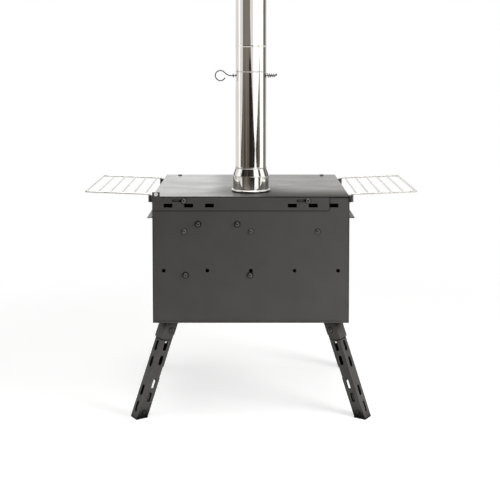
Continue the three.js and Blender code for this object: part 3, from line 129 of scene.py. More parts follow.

# %% Lighter edges: rubbing and painted highlight


def edge_wear_and_highlight(tree, rounded, wear_and_highlight):
    """0 on a flat face, rising to the given share where the rounded normal turns away over an edge; the
    lighter edge is partly rubbing and partly a painted highlight.
    """
    flat = add_node(tree, "NewGeometry")
    bent = add_node(
        tree,
        "VectorMath",
        {"operation": "DOT_PRODUCT"},
        {0: rounded.outputs[0], 1: flat.outputs["Normal"]},
    )
    share = add_node(
        tree,
        "MapRange",
        inputs={"Value": bent.outputs["Value"], "From Min": 0.998, "From Max": 0.9, "To Max": wear_and_highlight},
    )
    return share.outputs[0]


print("wear starts where the rounded normal leans", round(math.degrees(math.acos(0.998)), 1), "degrees")

# %% Sprayed tone


def sprayed_tone(tree, cloud, grain, thin, thick):
    """The coating's colour: clouds of thick and thin spray, and a dry grain over them."""
    clouded = add_node(
        tree, "MapRange", inputs={"Value": cloud.outputs["Fac"], "From Min": 0.32, "From Max": 0.68}
    )
    coat = add_node(
        tree,
        "Mix",
        {"data_type": "RGBA"},
        {0: clouded.outputs[0], 6: colour(thick), 7: colour(thin)},
    )
    speckle = add_node(
        tree,
        "MapRange",
        inputs={
            "Value": grain.outputs["Fac"],
            "From Min": 0.3,
            "From Max": 0.7,
            "To Min": 0.93,
            "To Max": 1.07,
        },
    )
    speckled = add_node(
        tree,
        "Mix",
        {"data_type": "RGBA", "blend_type": "MULTIPLY"},
        {0: 1.0, 6: coat.outputs[2], 7: speckle.outputs[0]},
    )
    return speckled.outputs[2]


print("grain lightens and darkens the coating by 7 parts in 100")

# %% Coated steel
# the black that the painted shade in seams and corners darkens towards
SHADE_BLACK = "#0d0c0c"


def coated_steel(
    name, thin, thick, wear_and_highlight_tone, roughness, cloud_mm, grain_mm, edge_mm, wear_and_highlight, shade_mm, shade_full, channel_shade_mm=0.0
):
    """The last argument, where given, also paints shade on what lies deep inside a channel."""
    material, tree = new_material(name)
    place = add_node(tree, "TexCoord").outputs["Object"]
    cloud = add_node(
        tree,
        "TexNoise",
        inputs={"Vector": place, "Scale": per_mm(cloud_mm), "Detail": 4.0, "Roughness": 0.55},
    )
    grain = add_node(
        tree,
        "TexNoise",
        inputs={"Vector": place, "Scale": per_mm(grain_mm), "Detail": 2.0, "Roughness": 0.6},
    )
    rounded = add_node(tree, "Bevel", {"samples": 4}, {"Radius": edge_mm * MM})
    finish = add_node(
        tree,
        "Mix",
        {"data_type": "RGBA"},
        {
            0: edge_wear_and_highlight(tree, rounded, wear_and_highlight),
            6: sprayed_tone(tree, cloud, grain, thin, thick),
            7: colour(wear_and_highlight_tone),
        },
    )
    # painted shade: seams, corners and the ground round screws darken towards black
    painted_shade = shut_in(tree, shade_mm, 0.98, shade_full)
    # painted shade deep inside a channel, such as the inside of a leg
    if channel_shade_mm:
        channel_shade = shut_in(tree, channel_shade_mm, 0.95, 0.62)
        painted_shade = add_node(tree, "Math", {"operation": "MAXIMUM"}, {0: painted_shade, 1: channel_shade}).outputs[0]
    # in the painted shade the shine fades out too, so that it reads as black
    shaded_specular = add_node(
        tree,
        "MapRange",
        inputs={"Value": painted_shade, "From Min": 0.3, "To Min": 0.5, "To Max": 0.03},
    )
    shaded = add_node(
        tree, "Mix", {"data_type": "RGBA"}, {0: painted_shade, 6: finish.outputs[2], 7: colour(SHADE_BLACK)}
    )
    sheen = add_node(
        tree,
        "MapRange",
        inputs={
            "Value": cloud.outputs["Fac"],
            "From Min": 0.3,
            "From Max": 0.7,
            "To Min": roughness + 0.05,
            "To Max": roughness - 0.05,
        },
    )
    bump = add_node(
        tree,
        "Bump",
        inputs={
            "Height": grain.outputs["Fac"],
            "Strength": 0.35,
            "Distance": 0.03 * MM,
            "Normal": rounded.outputs[0],
        },
    )
    shader = add_node(
        tree,
        "BsdfPrincipled",
        inputs={
            "Base Color": shaded.outputs[2],
            "Roughness": sheen.outputs[0],
            "Specular IOR Level": shaded_specular.outputs[0],
            "Normal": bump.outputs[0],
            "Metallic": 0.0,
            "IOR": 1.5,
        },
    )
    show(tree, shader)
    return material


# %% Coatings of the body, the legs and the rivets, and of the painted shadow strip
# satin sprayed coating: an even warm dark grey with a soft, wide highlight
body_coat = coated_steel(
    "satin_coated_steel",
    thin="#403e3c",
    thick="#3b3937",
    wear_and_highlight_tone="#5d5b58",
    roughness=0.38,
    cloud_mm=60,
    grain_mm=0.9,
    edge_mm=0.5,
    wear_and_highlight=0.5,
    shade_mm=3.5,
    shade_full=0.72,
)
# the legs' edges are painted a light grey: rubbing from being handled each time the stove is put
# up, and a painted highlight along the corners
leg_coat = coated_steel(
    "satin_coated_leg_steel",
    thin="#3f3d3b",
    thick="#383634",
    wear_and_highlight_tone="#8a8883",
    roughness=0.42,
    cloud_mm=30,
    grain_mm=0.9,
    edge_mm=1.1,
    wear_and_highlight=0.9,
    shade_mm=4,
    shade_full=0.87,
    # the inside of each leg's channel is painted dark: painted shade
    channel_shade_mm=34,
)
# a coated rivet's rim is painted a pale ring: rubbing as the leg turns, and a painted highlight
rivet_coat = coated_steel(
    "pale_rimmed_coated_rivet_steel",
    thin="#4b4946",
    thick="#403e3c",
    wear_and_highlight_tone="#8f8c87",
    roughness=0.34,
    cloud_mm=6,
    grain_mm=0.7,
    edge_mm=0.5,
    wear_and_highlight=0.9,
    shade_mm=3,
    shade_full=0.75,
)
# a black, matt strip with no gloss to speak of: painted shadow under the hotplate's bend
shadow_strip_coat = coated_steel(
    "black_shadow_strip",
    thin="#161514",
    thick="#0f0e0e",
    wear_and_highlight_tone="#1d1c1b",
    roughness=0.8,
    cloud_mm=8,
    grain_mm=0.6,
    edge_mm=0.2,
    wear_and_highlight=0.1,
    shade_mm=2,
    shade_full=0.7,
)
print("coatings:", [made.name for made in (body_coat, leg_coat, rivet_coat, shadow_strip_coat)])

# %% [markdown]
# ## The hotplate
#
# The hotplate has the same coating, rubbed smoother by pots. It is glossier than the sides, so
# seen at a low angle it mirrors the pale room, and the rub marks show as soft patches of a
# slightly different gloss, stretched along the plate's width. Round the flue's foot the coating
# is duller and darkened with painted shade, fading out over about 15 cm.

# %% Hotplate sizes from the frame
socket_low, socket_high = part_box("flue_pipe_lower")
FLUE_FOOT = (socket_low + socket_high) / 2
FLUE_FOOT.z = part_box("cooktop")[1].z
PLATE_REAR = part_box("cooktop")[0].y
DULL_WIDTH = 130 * MM
print("flue foot in mm:", [round(v / MM, 1) for v in FLUE_FOOT])

# %% Hotplate's duller and darker parts: painted shade round the flue, a darker rear edge


def flue_foot_shade(tree, place):
    """1 at the flue's foot, fading to 0 at 110 mm from its middle."""
    from_flue = add_node(
        tree, "VectorMath", {"operation": "DISTANCE"}, {0: place, 1: tuple(FLUE_FOOT)}
    )
    flue_shade = add_node(
        tree,
        "MapRange",
        {"interpolation_type": "SMOOTHSTEP"},
        {
            "Value": from_flue.outputs["Value"],
            "From Min": 30 * MM,
            "From Max": 110 * MM,
            "To Min": 1.0,
            "To Max": 0.0,
        },
    )
    return flue_shade.outputs[0]


def rear_edge_darkening(tree, place):
    """1 at the rear edge right of the flue, where the plate is darker and duller."""
    along = add_node(tree, "SeparateXYZ", inputs={0: place})
    to_rear = add_node(
        tree,
        "MapRange",
        {"interpolation_type": "SMOOTHSTEP"},
        {"Value": along.outputs["Y"], "From Min": PLATE_REAR + DULL_WIDTH, "From Max": PLATE_REAR},
    )
    to_right = add_node(
        tree,
        "MapRange",
        {"interpolation_type": "SMOOTHSTEP"},
        {"Value": along.outputs["X"], "From Min": -30 * MM, "From Max": 50 * MM, "To Min": 0.12},
    )
    edge = add_node(
        tree, "Math", {"operation": "MULTIPLY"}, {0: to_rear.outputs[0], 1: to_right.outputs[0]}
    )
    return edge.outputs[0]


# the rear edge right of the flue is darker and duller over this width
print("soot fades over", round(DULL_WIDTH / MM), "mm from the rear edge")

# %% Hotplate steel


def hotplate_steel(name):
    material, tree = new_material(name)
    place = add_node(tree, "TexCoord").outputs["Object"]
    stretched = add_node(tree, "Mapping", inputs={"Vector": place, "Scale": (0.55, 1.0, 1.0)})
    patch = add_node(
        tree,
        "TexNoise",
        inputs={"Vector": stretched.outputs[0], "Scale": per_mm(55), "Detail": 5.0, "Roughness": 0.5},
    )
    grain = add_node(
        tree, "TexNoise", inputs={"Vector": place, "Scale": per_mm(1.1), "Detail": 2.0, "Roughness": 0.6}
    )
    tone = add_node(
        tree, "MapRange", inputs={"Value": patch.outputs["Fac"], "From Min": 0.3, "From Max": 0.7}
    )
    coat = add_node(
        tree,
        "Mix",
        {"data_type": "RGBA"},
        {0: tone.outputs[0], 6: colour("#55544f"), 7: colour("#6a6964")},
    )
    gloss = add_node(
        tree,
        "MapRange",
        inputs={
            "Value": patch.outputs["Fac"],
            "From Min": 0.3,
            "From Max": 0.7,
            "To Min": 0.27,
            "To Max": 0.19,
        },
    )
    flue_shade = flue_foot_shade(tree, place)
    rear_darkening = rear_edge_darkening(tree, place)
    dulled = add_node(
        tree, "Math", {"operation": "MULTIPLY_ADD"}, {0: flue_shade, 1: 0.12, 2: gloss.outputs[0]}
    )
    matt = add_node(
        tree, "Math", {"operation": "MULTIPLY_ADD"}, {0: rear_darkening, 1: 0.3, 2: dulled.outputs[0]}
    )
    specular = add_node(
        tree, "MapRange", inputs={"Value": rear_darkening, "To Min": 0.5, "To Max": 0.08}
    )
    # painted shade round the flue's foot darkens the coating
    flue_shaded = add_node(
        tree, "Mix", {"data_type": "RGBA"}, {0: flue_shade, 6: coat.outputs[2], 7: colour("#33322f")}
    )
    # the plate is darker towards the rear edge right of the flue
    rear_darkened = add_node(
        tree, "Mix", {"data_type": "RGBA"}, {0: rear_darkening, 6: flue_shaded.outputs[2], 7: colour("#3b3a37")}
    )
    rounded = add_node(tree, "Bevel", {"samples": 4}, {"Radius": 0.5 * MM})
    bump = add_node(
        tree,
        "Bump",
        inputs={
            "Height": grain.outputs["Fac"],
            "Strength": 0.3,
            "Distance": 0.02 * MM,
            "Normal": rounded.outputs[0],
        },
    )
    # painted shade: wherever a neighbour within 6 mm shuts the plate in, as round the flue's rim, it
    # darkens
    painted_shade = shut_in(tree, 6, 0.98, 0.7)
    shaded = add_node(
        tree, "Mix", {"data_type": "RGBA"}, {0: painted_shade, 6: rear_darkened.outputs[2], 7: colour("#161514")}
    )
    shader = add_node(
        tree,
        "BsdfPrincipled",
        inputs={
            "Base Color": shaded.outputs[2],
            "Roughness": matt.outputs[0],
            "Specular IOR Level": specular.outputs[0],
            "Normal": bump.outputs[0],
            "Metallic": 0.08,
            "IOR": 1.5,
        },
    )
    show(tree, shader)
    return material


# the same coating rubbed by pots: a broad, blurred mirror with patches of differing gloss
plate_coat = hotplate_steel("rubbed_hotplate_coating")
print("hotplate finish:", plate_coat.name)

# %% [markdown]
# ## Bare and polished metal
#
# Six finishes share one recipe for bare metal: a base colour between two tones, a roughness
# that varies with fine drawing lines, and a little bump. The flue pipe is mirror-polished
# stainless sheet, with drawing lines along its length. The wire is bright nickel-like steel, the
# screws are darkened steel, and the pieces in the fire are dull and stained straw to blue-grey
# by heat, or black with soot where the smoke passes.

# %% Metals


def bare_metal(
    name, light, dark, low, high, line_mm, stretch, bump_mm, stain_mm, edge_mm=0.0, shade_mm=0.0
):
    """low and high bound the roughness; stretch draws the lines out along one direction."""
    material, tree = new_material(name)
    place = add_node(tree, "TexCoord").outputs["Object"]
    drawn = add_node(tree, "Mapping", inputs={"Vector": place, "Scale": stretch})
    line = add_node(
        tree,
        "TexNoise",
        inputs={"Vector": drawn.outputs[0], "Scale": per_mm(line_mm), "Detail": 3.0, "Roughness": 0.6},
    )
    stain = add_node(
        tree,
        "TexNoise",
        inputs={"Vector": place, "Scale": per_mm(stain_mm), "Detail": 4.0, "Roughness": 0.6},
    )
    share = add_node(
        tree,
        "MapRange",
        inputs={"Value": stain.outputs["Fac"], "From Min": 0.35, "From Max": 0.65},
    )
    tone = add_node(
        tree, "Mix", {"data_type": "RGBA"}, {0: share.outputs[0], 6: colour(dark), 7: colour(light)}
    )
    rough = add_node(
        tree,
        "MapRange",
        inputs={
            "Value": line.outputs["Fac"],
            "From Min": 0.3,
            "From Max": 0.7,
            "To Min": low,
            "To Max": high,
        },
    )
    surface = tone.outputs[2]
    # painted shade: a screw's socket and the corner round its head darken towards black
    if shade_mm:
        painted_shade = shut_in(tree, shade_mm, 0.85, 0.45)
        shaded = add_node(
            tree, "Mix", {"data_type": "RGBA"}, {0: painted_shade, 6: surface, 7: colour("#0c0b0b")}
        )
        surface = shaded.outputs[2]
    normal = {}
    if edge_mm:
        rounded = add_node(tree, "Bevel", {"samples": 4}, {"Radius": edge_mm * MM})
        normal = {"Normal": rounded.outputs[0]}
    bump = add_node(
        tree,
        "Bump",
        inputs={"Height": line.outputs["Fac"], "Strength": 0.3, "Distance": bump_mm * MM, **normal},
    )
    shader = add_node(
        tree,
        "BsdfPrincipled",
        inputs={
            "Base Color": surface,
            "Roughness": rough.outputs[0],
            "Normal": bump.outputs[0],
            "Metallic": 1.0,
        },
    )
    show(tree, shader)
    return material


print("bare metal recipe ready")

# %% Six bare metals
ALONG_PIPE = (1.0, 1.0, 0.02)
ALONG_GRATE = (1.0, 0.1, 1.0)
EVEN = (1.0, 1.0, 1.0)
# polished stainless: a clear mirror, drawn lengthwise; its lines are far finer than 1.6 mm, and
# are drawn this coarse so that they show at all
mirror_steel = bare_metal(
    "mirror_polished_stainless", "#e6e4e0", "#dddbd6", 0.035, 0.08, 1.6, ALONG_PIPE, 0.006, 60
)
# bright drawn wire: pale, with a blurred shine
bright_wire = bare_metal(
    "bright_wire_steel", "#dddbd7", "#cbc9c5", 0.24, 0.34, 1.5, EVEN, 0.01, 12
)
# spring wire: the same, duller and greyer
grey_wire = bare_metal("dull_spring_wire", "#7d7b77", "#5c5a56", 0.2, 0.3, 0.8, EVEN, 0.01, 6)
# darkened screws: a dim metal shine; the socket and the ground round the head are painted black, as
# painted shade
screw_steel = bare_metal(
    "darkened_screw_steel", "#7a7771", "#5a5753", 0.26, 0.38, 0.8, EVEN, 0.02, 4, shade_mm=3.5
)
# heated steel: matt, stained straw to blue-grey
fire_steel = bare_metal(
    "heat_stained_steel", "#7d7468", "#54575c", 0.42, 0.6, 1.2, ALONG_GRATE, 0.03, 38, 0.4
)
# steel under soot: nearly black and without shine
soot_steel = bare_metal(
    "sooted_steel", "#1a1817", "#0e0d0d", 0.75, 0.9, 1.5, EVEN, 0.05, 30, 0.4
)
metals = (mirror_steel, bright_wire, grey_wire, screw_steel, fire_steel, soot_steel)
print("bare metals:", [made.name for made in metals])

# %% [markdown]
# ## The door's glass
#
# Stove windows are a glass-ceramic with a faint amber tint, hazed by smoke in places. The haze
# is a change of roughness in soft patches about three centimetres wide.

# %% Glass-ceramic


def stove_glass(name):
    material, tree = new_material(name)
    place = add_node(tree, "TexCoord").outputs["Object"]
    smoke = add_node(
        tree, "TexNoise", inputs={"Vector": place, "Scale": per_mm(32), "Detail": 5.0, "Roughness": 0.6}
    )
    haze = add_node(
        tree,
        "MapRange",
        inputs={
            "Value": smoke.outputs["Fac"],
            "From Min": 0.35,
            "From Max": 0.7,
            "To Min": 0.02,
            "To Max": 0.16,
        },
    )
    tint = add_node(
        tree,
        "Mix",
        {"data_type": "RGBA"},
        {0: smoke.outputs["Fac"], 6: colour("#c9b79a"), 7: colour("#8f7d66")},
    )
    shader = add_node(
        tree,
        "BsdfPrincipled",
        inputs={
            "Base Color": tint.outputs[2],
            "Roughness": haze.outputs[0],
            "Transmission Weight": 1.0,
            "IOR": 1.54,
        },
    )
    show(tree, shader)
    return material


window_glass = stove_glass("smoke_hazed_glass_ceramic")
print("window finish:", window_glass.name)

# %% [markdown]
# ## Finishes on the CAD solids
#
# Each solid names the kind of finish it has. Sheet-metal pieces keep their solid, because flat
# sheet with square edges is just what they are, and only take the new finish.

# %% Assign the finishes
FINISH_OF_SLOT = {
    "coated_steel": body_coat,
    "cooktop_steel": plate_coat,
    "leg_steel": leg_coat,
    "bare_steel": fire_steel,
    "polished_steel": mirror_steel,
    "wire_steel": bright_wire,
    "fastener_steel": screw_steel,
    "stove_glass": window_glass,
}
# these pieces differ from the rest of their kind
FINISH_OF_NODE = {
    "rear_liner": soot_steel,
    "baffle_plate": soot_steel,
    "latch_handle": grey_wire,
}
for name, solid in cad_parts.items():
    slot_name = solid.data.materials[0].name
    solid.data.materials[0] = FINISH_OF_NODE.get(name, FINISH_OF_SLOT[slot_name])
print("solids with a finish:", len(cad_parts))

# %% [markdown]
# ## Turned pieces
#
# A pipe, a screw head and a rivet are all a profile turned about an axis. The helper takes the
# profile as radius and height in millimetres, turns it in fine steps, shades it smooth and
# keeps only true corners sharp. A closed profile gives a tube with a real wall.

# %% Piece helper


def new_piece(name, mesh, finish, body, slot_name, *nodes):
    piece = bpy.data.objects.new(name, mesh)
    bpy.context.scene.collection.objects.link(piece)
    piece.data.materials.append(finish)
    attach(piece, body)
    if nodes:
        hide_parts(*nodes)
    return piece


print("every rebuilt piece rides a body and stands in for its solid")

# %% Profile helpers


def held(profile, closed, reach=0.3):
    """Adds a point close to each end of a long line, so that shading bends only near a corner."""
    ends = profile[1:] + profile[:1] if closed else profile[1:]
    points = []
    for start, end in zip(profile, ends):
        points.append(start)
        length = math.dist(start, end)
        if length > 6 * reach:
            for share in (reach / length, 1 - reach / length):
                points.append(tuple(a + (b - a) * share for a, b in zip(start, end)))
    if not closed:
        points.append(profile[-1])
    return points


def arc(centre, radius, start, end, steps):
    """Points of a rounding in a profile, angles in degrees."""
    points = []
    for step in range(steps + 1):
        angle = math.radians(start + (end - start) * step / steps)
        points.append((centre[0] + radius * math.cos(angle), centre[1] + radius * math.sin(angle)))
    return points


print("quarter round of 1 mm:", [[round(v, 2) for v in point] for point in arc((0, 0), 1, 0, 90, 2)])

# %% Turning helper
CORNER = 40  # degrees; a sharper turn of the profile keeps a hard edge


def turned(name, profile, place, steps, closed, hole=None):
    """hole = (height, radius) in mm leaves a small hole through both walls along X."""
    profile = held(profile, closed)
    built = bmesh.new()
    rings = []
    for radius, height in profile:
        if radius < 1e-6:
            rings.append([built.verts.new((0, 0, height * MM))])
            continue
        ring = []
        for step in range(steps):
            angle = 2 * math.pi * step / steps
            x = radius * MM * math.cos(angle)
            y = radius * MM * math.sin(angle)
            ring.append(built.verts.new((x, y, height * MM)))
        rings.append(ring)
    pairs = list(zip(rings, rings[1:]))
    if closed:
        pairs.append((rings[-1], rings[0]))
    for low, high in pairs:
        for step in range(steps):
            after = (step + 1) % steps
            if len(low) == 1 and len(high) == 1:
                continue
            if len(low) == 1:
                built.faces.new((low[0], high[after], high[step]))
            elif len(high) == 1:
                built.faces.new((low[step], low[after], high[0]))
            else:
                built.faces.new((low[step], low[after], high[after], high[step]))
    if hole:
        height, radius = hole
        gone = []
        for face in built.faces:
            middle = face.calc_center_median() / MM
            if abs(middle.x) > 20 and math.hypot(middle.y, middle.z - height) < radius:
                gone.append(face)
        bmesh.ops.delete(built, geom=gone, context="FACES")
    bmesh.ops.recalc_face_normals(built, faces=built.faces)
    mesh = bpy.data.meshes.new(name)
    built.to_mesh(mesh)
    built.free()
    mesh.transform(place)
    for face in mesh.polygons:
        face.use_smooth = True
    mesh.set_sharp_from_angle(angle=math.radians(CORNER))
    return mesh


print("turned pieces keep edges of more than", CORNER, "degrees sharp")

# %% [markdown]
# ## The flue pipe
#
# Thin stainless tube, rolled and seam-welded, then polished. The lower length ends in a flared
# socket with a rolled rim that drops over the firebox collar; a small crease marks where the
# flare was formed. The upper length slides over a necked spigot, and a raised bead stops it.

# %% Pipe sizes from the frame
pipe_low, pipe_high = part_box("flue_pipe_upper")
lower_low, lower_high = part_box("flue_pipe_lower")
PIPE_Y = (lower_low.y + lower_high.y) / 2 / MM
PIPE_R = 31.75
WALL = 0.8
SOCKET_R = 37.0
RIM_ROLL = 2.4
RIM_FOOT = lower_low.z / MM
SOCKET_END = RIM_FOOT + 31.7
FLARE = 15.6
SHOULDER = 691.0
SPIGOT_R = 30.6
SPIGOT_TOP = lower_high.z / MM
BEAD_Z = 742.6
UPPER_FOOT = pipe_low.z / MM
UPPER_TOP = pipe_high.z / MM
KEY_Z = 683.5
KEY_HOLE_R = 1.7
PIPE_STEPS = 240
print("pipe axis y", round(PIPE_Y, 2), "rim foot z", round(RIM_FOOT, 2), "top z", round(UPPER_TOP, 2))

# %% Profiles of the rim, the flare and the crease
flue_axis = Matrix.Translation((0, PIPE_Y * MM, 0))
rim = arc((SOCKET_R + 2.6 - RIM_ROLL, RIM_FOOT + RIM_ROLL), RIM_ROLL, -90, 90, 14)
BEND_RISE = 1.6  # the flare leaves the socket in a tight bend and meets the pipe at a crease
bend_steps = [step / 5 for step in range(6)]
flare = [(SOCKET_R - 0.3 * t * t, SOCKET_END + BEND_RISE * t) for t in bend_steps]
flare += [(PIPE_R + 0.25, SOCKET_END + FLARE - 0.8), (PIPE_R, SOCKET_END + FLARE)]
flare_top = SOCKET_END + FLARE
crease = []
for step in range(1, 6):
    swell = 0.5 * math.sin(math.pi * step / 6) ** 2
    crease.append((PIPE_R + swell, flare_top + 0.3 + 0.4 * step))
near_key = [(PIPE_R, KEY_Z + 0.4 * step) for step in range(-6, 7)]
print("rim, flare and crease:", len(rim), len(flare), len(crease), "points")

# %% Lower pipe
outside = [(SOCKET_R - WALL, RIM_FOOT + 0.6)] + rim + [(SOCKET_R, rim[-1][1] + 0.6)] + flare + crease
outside += [(PIPE_R, flare_top + 3)] + near_key
outside += [(PIPE_R, SHOULDER - 0.4), (PIPE_R - 0.25, SHOULDER), (SPIGOT_R, SHOULDER + 0.6)]
outside += [(SPIGOT_R, SPIGOT_TOP)]
inside = [(SPIGOT_R - WALL, SPIGOT_TOP), (SPIGOT_R - WALL, SHOULDER - 1), (PIPE_R - WALL, SHOULDER - 2)]
inside += [(PIPE_R - WALL, z) for _, z in reversed(near_key)] + [(PIPE_R - WALL, flare_top)]
inside += [(radius - WALL, z) for radius, z in reversed(flare)]
lower_mesh = turned(
    "flue_lower", outside + inside, flue_axis, PIPE_STEPS, True, hole=(KEY_Z, KEY_HOLE_R)
)
new_piece(
    "flue_lower", lower_mesh, mirror_steel, "chimney", "polished_steel", "flue_pipe_lower"
)
lower_mesh.materials.append(soot_steel)
for face in lower_mesh.polygons:
    if face.center.z > (SHOULDER + 0.1) * MM:
        face.material_index = 1  # smoke blackens the joint
print("lower pipe:", len(lower_mesh.polygons), "faces")

# %% Upper pipe
bead = []
for step in range(9):
    swell = 0.6 * math.sin(math.pi * step / 8) ** 2
    bead.append((PIPE_R + swell, BEAD_Z - 1.6 + 0.4 * step))
upper = [(PIPE_R - WALL, UPPER_FOOT), (PIPE_R - 0.2, UPPER_FOOT), (PIPE_R, UPPER_FOOT + 0.3)] + bead
upper += [(PIPE_R, UPPER_TOP - 0.3), (PIPE_R - 0.2, UPPER_TOP), (PIPE_R - WALL, UPPER_TOP)]
upper_mesh = turned("flue_upper", upper, flue_axis, PIPE_STEPS, True)
new_piece("flue_upper", upper_mesh, mirror_steel, "chimney_top", "polished_steel", "flue_pipe_upper")
print("upper pipe:", len(upper_mesh.polygons), "faces")

# %% [markdown]
# ## Wires
#
# The shelves, the damper's key and its spring are drawn wire, bent cold. Each is a curve with a
# round section, its corners turned at the bending tool's radius. A shelf is one bent frame with
# five lighter bars welded on.

# %% Bend helper


def round_corners(corners, radii):
    """A route through the corners in mm, each inner corner rounded with its own radius."""
    points = [Vector(corners[0])]
    for i in range(1, len(corners) - 1):
        here = Vector(corners[i])
        back = (Vector(corners[i - 1]) - here).normalized()
        on = (Vector(corners[i + 1]) - here).normalized()
        half = back.angle(on) / 2
        reach = radii[i - 1] / math.tan(half)
        centre = here + (back + on).normalized() * (radii[i - 1] / math.sin(half))
        start = here + back * reach - centre
        end = here + on * reach - centre
        turn = start.angle(end)
        for step in range(9):
            share = step / 8
            mixed = start * (math.sin((1 - share) * turn) / math.sin(turn))
            mixed += end * (math.sin(share * turn) / math.sin(turn))
            points.append(centre + mixed)
    points.append(Vector(corners[-1]))
    return points


square = [(0, 0, 0), (20, 0, 0), (20, 20, 0)]
print("a right bend of 4 mm takes", len(round_corners(square, [4.0])), "points")

# %% Wire helper
WIRE_BEVEL = 5


def wire_curve(name, routes, finish, body, slot_name, *nodes):
    """routes = [(points in mm, wire radius in mm), ...]; each gets a bevelled end."""
    curve = bpy.data.curves.new(name, "CURVE")
    curve.dimensions = "3D"
    curve.bevel_depth = MM
    curve.bevel_resolution = WIRE_BEVEL
    curve.use_fill_caps = True
    for points, radius in routes:
        spline = curve.splines.new("POLY")
        spline.points.add(len(points) - 1)
        for knot, point in zip(spline.points, points):
            knot.co = (point[0] * MM, point[1] * MM, point[2] * MM, 1)
            knot.radius = radius
        spline.use_smooth = True
    return new_piece(name, curve, finish, body, slot_name, *nodes)


print("wire section: bevel resolution", WIRE_BEVEL)

# %% Wire shelves
SHELF_WIRE = 2.0
SHELF_BAR = 1.5
SHELF_DROP = 14.0
SHELF_RISE = 5.2
SHELF_BAR_FIRST = 9.9
SHELF_BAR_PITCH = 23.2
for side, label in ((-1, "left"), (1, "right")):
    node = f"wire_shelf_{label}"
    low, high = (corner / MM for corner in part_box(node))
    root = (high.x - SHELF_WIRE) if side < 0 else (low.x + SHELF_WIRE)
    tip = (low.x + SHELF_WIRE) if side < 0 else (high.x - SHELF_WIRE)
    near, far = low.y + SHELF_WIRE, high.y - SHELF_WIRE
    level = low.z + SHELF_DROP
    reach = abs(tip - root)
    slope = SHELF_RISE / (reach + 4.6)
    end_z = level + reach * slope
    corners = [(root, near, level - SHELF_DROP), (root, near, level), (tip, near, end_z)]
    corners += [(tip, far, end_z), (root, far, level), (root, far, level - SHELF_DROP)]
    routes = [(round_corners(corners, [2.4, 4.0, 4.0, 2.4]), SHELF_WIRE)]
    for i in range(5):
        out = SHELF_BAR_FIRST + i * SHELF_BAR_PITCH
        height = level + out * slope + SHELF_BAR / 2
        routes.append(
            ([(root + side * out, near, height), (root + side * out, far, height)], SHELF_BAR)
        )
    wire_curve(f"shelf_wire_{label}", routes, bright_wire, f"shelf_{label}", "wire_steel", node)
    print(node, "reach", round(reach, 1), "mm, length", round(far - near, 1), "mm")

# %% [markdown]
# ## The shadow strip
#
# The hotplate is bent down over the rear panel. A thin black strip lies in the joint above the
# air plate: it is painted shadow, for the shade under the bend. The wire helper draws it as a
# soft rod, with a height that wavers by a few hundredths of a millimetre.

# %% Painted shadow strip under the hotplate's bend
SHADOW_STRIP_R = 0.7
RIVET_HEIGHT = 2.0  # the hotplate's two rivet heads stand above its face
SLIDER_BELOW_TOP = 2.2
plate_low, plate_high = (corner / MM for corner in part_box("cooktop"))
shadow_strip_z = plate_high.z - RIVET_HEIGHT - SLIDER_BELOW_TOP + SHADOW_STRIP_R + 0.1
shadow_strip_y = plate_low.y - 0.45
shadow_strip_end = plate_high.x - 1.5
shadow_strip = []
for step in range(61):
    x = -shadow_strip_end + 2 * shadow_strip_end * step / 60
    shadow_strip.append((x, shadow_strip_y, shadow_strip_z + 0.06 * math.sin(1.7 * step)))
wire_curve("shadow_strip_line", [(shadow_strip, SHADOW_STRIP_R)], shadow_strip_coat, "firebox", "coated_steel")
print("seal at z", round(shadow_strip_z, 2), "mm, half length", round(shadow_strip_end, 1), "mm")

# %% [markdown]
# ## The damper's key and spring
#
# The key is one bent wire through the pipe: a loop for the fingers, a straight run and a short
# tail. A conical spring and a washer on the far side hold it by friction. They turn with the
# key, so all three ride the damper.

# %% Loop of the damper key
KEY_R = 1.2
LOOP_R = 10.3
LOOP_X = -61.9
LOOP_START = 336  # degrees
LOOP_END = 52
key_low, key_high = (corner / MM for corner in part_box("damper_key"))
tail_x = key_high.x - KEY_R
tail_z = KEY_Z + 3.8
loop = []
for step in range(49):
    angle = math.radians(LOOP_START + (LOOP_END - LOOP_START) * step / 48)
    x = LOOP_X + LOOP_R * math.cos(angle)
    loop.append(Vector((x, PIPE_Y, KEY_Z + LOOP_R * math.sin(angle))))
print("loop:", round(2 * (LOOP_R + KEY_R), 1), "mm over the wire")

# %% Damper key
leave = loop[-1]
bend_end = Vector((LOOP_X + 2.1 * LOOP_R, PIPE_Y, KEY_Z))
first_pull = leave + Vector((5, 0, -4))
last_pull = bend_end + Vector((-8, 0, 0))
for step in range(1, 17):
    t = step / 16
    loop.append(
        leave * (1 - t) ** 3
        + first_pull * 3 * t * (1 - t) ** 2
        + last_pull * 3 * t**2 * (1 - t)
        + bend_end * t**3
    )
tail = round_corners([bend_end, (tail_x, PIPE_Y, KEY_Z), (tail_x, PIPE_Y, tail_z)], [2.0])
wire_curve(
    "damper_key_wire", [(loop + tail[1:], KEY_R)], grey_wire, "damper", "wire_steel", "damper_key"
)
print("key from x", round(key_low.x, 1), "to", round(key_high.x, 1), "mm")

